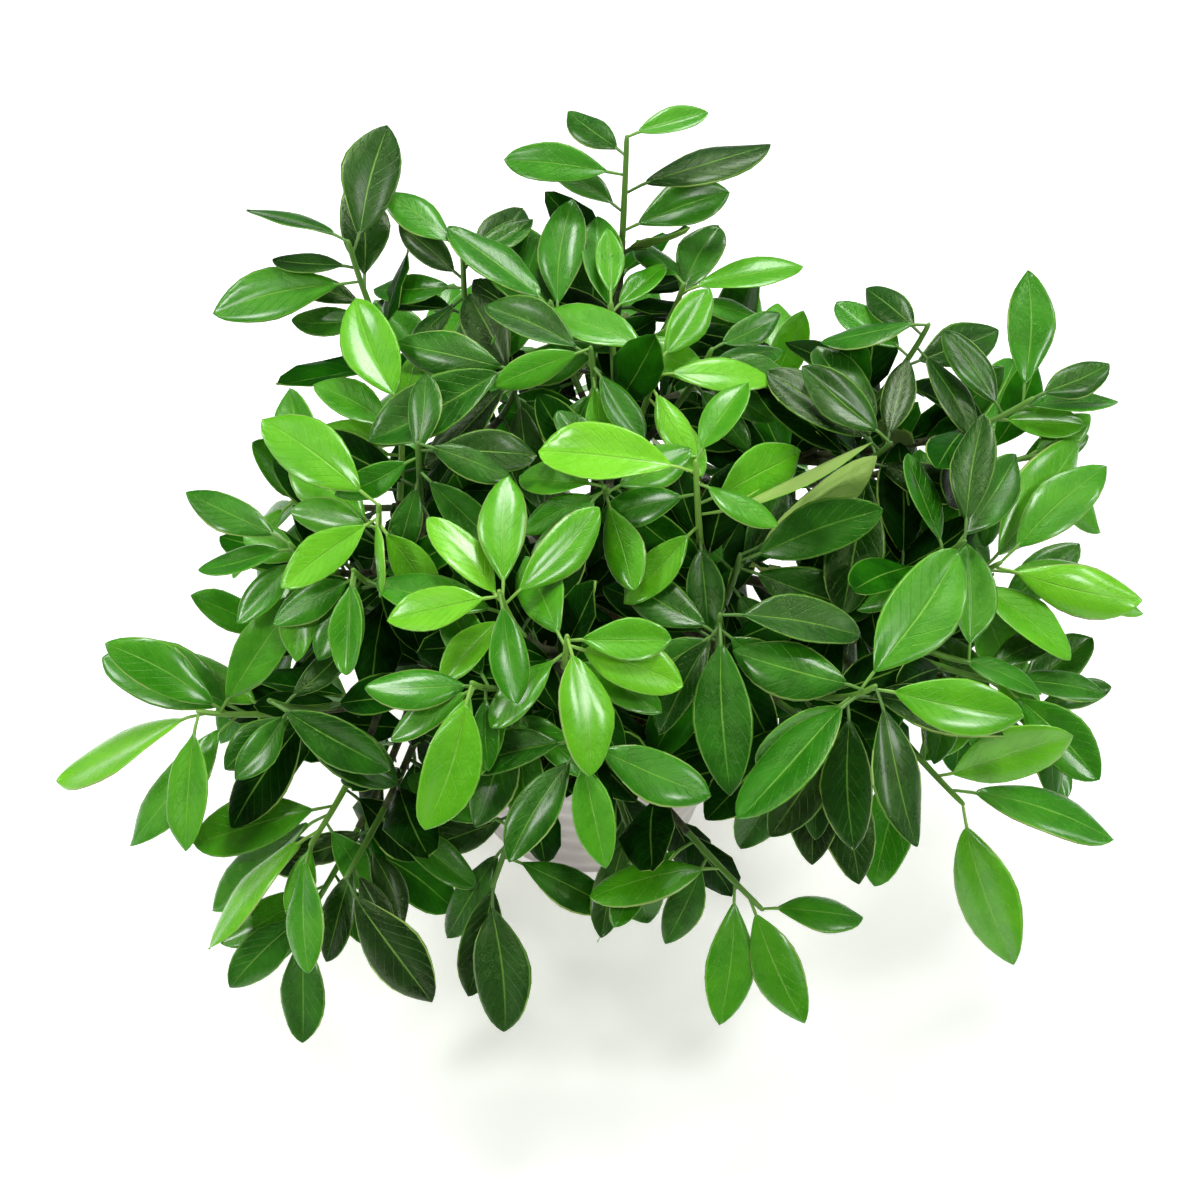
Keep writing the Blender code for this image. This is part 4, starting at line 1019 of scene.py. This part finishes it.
def blade_point(leaf, look, t, s):
    """Point of a blade at t along it and s across it, from -1 to 1."""
    place, heading, face = midrib(leaf, t)
    turn = look.twist * (t - TWIST_START)
    side = leaf.side * cos(turn) + face * sin(turn)
    up = face * cos(turn) - leaf.side * sin(turn)
    blunt = BLUNT_BASE + (look.tip - BLUNT_BASE) * t
    half = leaf.width / 2 * sin(pi * t**look.broad) ** blunt
    half *= 1 + OUTLINE_WAVE * sin(2 * pi * look.waves * t + look.phase + 2 * s)
    half += BASE_WIDTH * (1 - t)
    height = half * (tan(look.fold) * (abs(s) - LEVEL_AT) - look.bulge * s * s)
    height += look.wave * leaf.length * s * s * sin(2 * pi * look.waves * t + look.phase + s)
    return place + side * (s * half + look.bow * leaf.length * sin(pi * t)) + up * height


def add_leaf(shape, leaf, look, material=0):
    """A stalk and a blade with a skin on both sides, unwrapped with its length along U."""
    points = [leaf.root.lerp(leaf.base, step / 3) for step in range(4)]
    points += [blade_point(leaf, look, t, 0) - leaf.face * BLADE_SKIN for t in UNDER_RIB]
    add_tube(shape, points, [radius * MM for radius in STALK_RADII], STALK_SIDES)
    dye(shape, look.age, 1)
    grid = bmesh.ops.create_grid(
        shape, x_segments=LENGTHWAYS, y_segments=ACROSS, size=0.5, calc_uvs=True)["verts"]
    for vertex in grid:
        t, s = 0.5 - 0.5 * cos(pi * (vertex.co.x + 0.5)), 2 * vertex.co.y
        vertex.co = blade_point(leaf, look, t, s)
    faces = list({face for vertex in grid for face in vertex.link_faces})
    bmesh.ops.remove_doubles(shape, verts=grid, dist=BLADE_MERGE)
    faces = [face for face in faces if face.is_valid]
    bmesh.ops.solidify(shape, geom=faces, thickness=BLADE_SKIN)
    ages, under = shape.faces.layers.float["age"], shape.faces.layers.float["under"]
    for face in shape.faces:
        if face[ages] == 0:
            face.normal_update()
            face[under] = float(face.normal.dot(leaf.face) < UNDER_LIMIT)
    dye(shape, look.age, material)


# A real leaf's dents are too fine to show from here, so these are drawn coarser.
LEAF_GREENS = ((0.0, "#051a03"), (0.25, "#104405"), (0.5, "#2a7a06"), (0.75, "#4fa00c"), (1.0, "#6fbf1a"))
STEM_GREENS = ((0.0, "#35591a"), (0.5, "#5f9130"), (1.0, "#8cbf45"))
RIB_GREEN = "#8fc94e"
UNDER_GREEN = "#8fae58"
GLOSS_TINT = "#cdf59a"
MOTTLE_SIZE = 14 * MM
MOTTLE_ENDS = (0.3, 0.7)
DENT_SIZE = 5 * MM
DENT_DEPTH = 0.8 * MM
RIB_EDGE = (0.01, 0.05)
RIB_PALE = 0.7
RIM_EDGE = (0.965, 0.99)
RIM_PALE = 0.3
VEIN_SWEEP = 0.22
VEIN_WIDTH = 0.22
VEIN_PALE = 0.04
VEIN_DEPTH = 0.18
COAT_AGES = (0.1, 0.6)


def waxy_leaf(name, gloss):
    """Citrus leaf: waxy green, with a pale midrib, rim and faint side veins, and a matt, pale underside."""
    material, add, shader = new_material(name, 0.3)
    place = add("TexCoord").outputs["Object"]
    age = add("Attribute", attribute_name="age").outputs["Fac"]
    under = add("Attribute", attribute_name="under").outputs["Fac"]
    spread = add("UVMap", uv_map="blade")
    along, across = add("SeparateXYZ", [spread]).outputs[:2]
    half = add("Math", [across, 0.5], operation="SUBTRACT")
    reach = add("Math", [half, 2], operation="MULTIPLY")
    reach = add("Math", [reach], operation="ABSOLUTE")
    mottle = add("TexNoise", {"Vector": place, "Scale": 1 / MOTTLE_SIZE, "Detail": 4})
    tone = add("MapRange", [mottle, *MOTTLE_ENDS, -0.05, 0.08])
    tone = add("Math", [age, tone], operation="ADD", use_clamp=True)
    green = add("ValToRGB", [tone], LEAF_GREENS)
    rib = add("MapRange", [reach, *RIB_EDGE, RIB_PALE, 0])
    fade = add("MapRange", [along, 0, 0.9, 1, 0.25])
    rib = add("Math", [rib, fade], operation="MULTIPLY")
    rim = add("MapRange", [reach, *RIM_EDGE, 0, RIM_PALE])
    sweep = add("Math", [reach, -VEIN_SWEEP, along], operation="MULTIPLY_ADD")
    beat = add("Math", [sweep, VEIN_PAIRS * pi], operation="MULTIPLY")
    for operation in ("SINE", "ABSOLUTE"):
        beat = add("Math", [beat], operation=operation)
    vein = add("MapRange", [beat, 0, VEIN_WIDTH, 1, 0])
    faint = add("Math", [vein, VEIN_PALE], operation="MULTIPLY")
    line = rib
    for other in (rim, faint):
        line = add("Math", [line, other], operation="MAXIMUM")
    pale = add("Mix", {0: line, 6: green, 7: linear(RIB_GREEN)}, data_type="RGBA").outputs[2]
    skin = add("Mix", {0: under, 6: pale, 7: linear(UNDER_GREEN)}, data_type="RGBA").outputs[2]
    rough = add("MapRange", [mottle, *MOTTLE_ENDS, 0.22, 0.34])
    rough = add("Math", [under, 0.3, rough], operation="MULTIPLY_ADD")
    coat = add("MapRange", [tone, *COAT_AGES, 0.12 * gloss, 0.5 * gloss])
    dents = add("TexNoise", {"Vector": place, "Scale": 1 / DENT_SIZE, "Detail": 6, "Roughness": 0.7})
    relief = add("Math", [vein, -VEIN_DEPTH, dents], operation="MULTIPLY_ADD")
    relief = add("Math", [rib, -1, relief], operation="MULTIPLY_ADD")
    bump = add("Bump", {"Height": relief, "Strength": 0.85, "Distance": DENT_DEPTH})
    set_inputs(shader, {
        "Base Color": skin, "Roughness": rough, "Normal": bump, "Specular IOR Level": 0.5 * gloss,
        "Specular Tint": linear(GLOSS_TINT), "Coat Weight": coat, "Coat Roughness": 0.2, "Coat IOR": 1.55})
    return material


def green_stem():
    """Young stems and leaf stalks: smooth and yellow-green, darker on old leaves."""
    material, add, shader = new_material("green citrus stem", 0.45)
    age = add("Attribute", attribute_name="age").outputs["Fac"]
    set_inputs(shader, {"Base Color": add("ValToRGB", [age], STEM_GREENS)})
    return material


def leafy_shape():
    shape = bmesh.new()
    shape.loops.layers.uv.new("blade")
    shape.faces.layers.float.new("age")
    shape.faces.layers.float.new("under")
    return shape


leaf_skin = waxy_leaf("waxy citrus leaf", 1)
# A shaded copy of the waxy leaf for old leaves and for leaves deep in the crown: its gloss is taken out as
# painted shade, so that they read as lying in shade.
shaded_leaf_skin = waxy_leaf("shaded matt leaf", 0.05)
stem_skin = green_stem()
nearest_first = sorted(SHOOTS, key=lambda name: -Vector(SHOOTS[name][2]).dot(SEEN_NEAR))
young = {name: grow_leaves(crown, name, paths[name], False) for name in nearest_first}
old = {name: grow_leaves(crown, name, paths[name], True) for name in nearest_first}
for name, path in paths.items():
    shape = leafy_shape()
    points = stem_points(path, leafy_length(name) + STEM_OVERLAP, STEM_STEPS)
    add_tube(shape, points, taper(STEM_RADIUS, STEM_TIP_RADIUS, STEM_STEPS), STEM_SIDES)
    age = AGES.get(name, PLAIN_AGE)
    dye(shape, age, 1)
    for number, leaf in enumerate(young[name]):
        label = f"{name} {number}"
        add_leaf(shape, leaf, look_of(label, AGES.get(label, age)))
    # Old leaves take the matt, painted-shade copy of the leaf skin.
    for number, leaf in enumerate(old[name]):
        add_leaf(shape, leaf, look_of(f"old {name} {number}", OLD_AGE), 2)
    piece = add_piece(f"shoot_{name}", shape, leaf_skin, stem_skin, shaded_leaf_skin)
    rounding = piece.modifiers.new("rounding", "SUBSURF")
    rounding.levels = rounding.render_levels = 1
    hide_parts(name)
    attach(piece, "root")

# Inner leaves. Older, smaller leaves stand singly on the boughs and bare twigs behind the shoots, where the
# crown is too deep for the light. Their dark tone and matt skin are partly their age and partly painted
# shade.
# From here on bare wood bears leaves too, so a stalk may touch the bough or twig that it grows from.
INNER_SPACING = 7 * MM
INNER_TRIES = 10
INNER_END = 14 * MM
BOUGH_BARE = 25 * MM
INNER_LENGTHS = (34, 52)
INNER_ROLL = 40


def inner_leaf(root, ahead, number, draw):
    heading = spiral_heading(ahead, number + either_way(draw, 1), draw)
    length = draw.uniform(*INNER_LENGTHS) * MM
    return make_leaf(root, heading, length, radians(either_way(draw, INNER_ROLL)), draw)


def grow_inner_leaves(name, path, first, last):
    """Leaves that spiral round a bare path, between these distances from its tip."""
    grown = []
    for number in range(int((last - first) / INNER_SPACING)):
        root, ahead = point_from_tip(path, first + INNER_SPACING * number)
        draw = Random(f"inner {name} {number}")
        tries = (inner_leaf(root, ahead, number, draw) for _ in range(INNER_TRIES))
        grown += crown.first_clear(name, tries)
    return grown


crown.wood = [(place, radius, owner, True) for place, radius, owner, _ in crown.wood]
for bough in BOUGHS:
    path = bough_path(bough)
    inner = grow_inner_leaves(bough, path, INNER_END, path_length(path) - BOUGH_BARE)
    for name, path in paths.items():
        if SHOOTS[name][0] == bough:
            first = leafy_length(name) + INNER_END / 2
            inner += grow_inner_leaves(name, path, first, path_length(path) - INNER_END)
    shape = leafy_shape()
    for number, leaf in enumerate(inner):
        add_leaf(shape, leaf, look_of(f"inner {bough} {number}", INNER_AGE_AND_SHADE))
    piece = add_piece(f"inner_leaves_{bough}", shape, shaded_leaf_skin, stem_skin)
    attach(piece, "root")
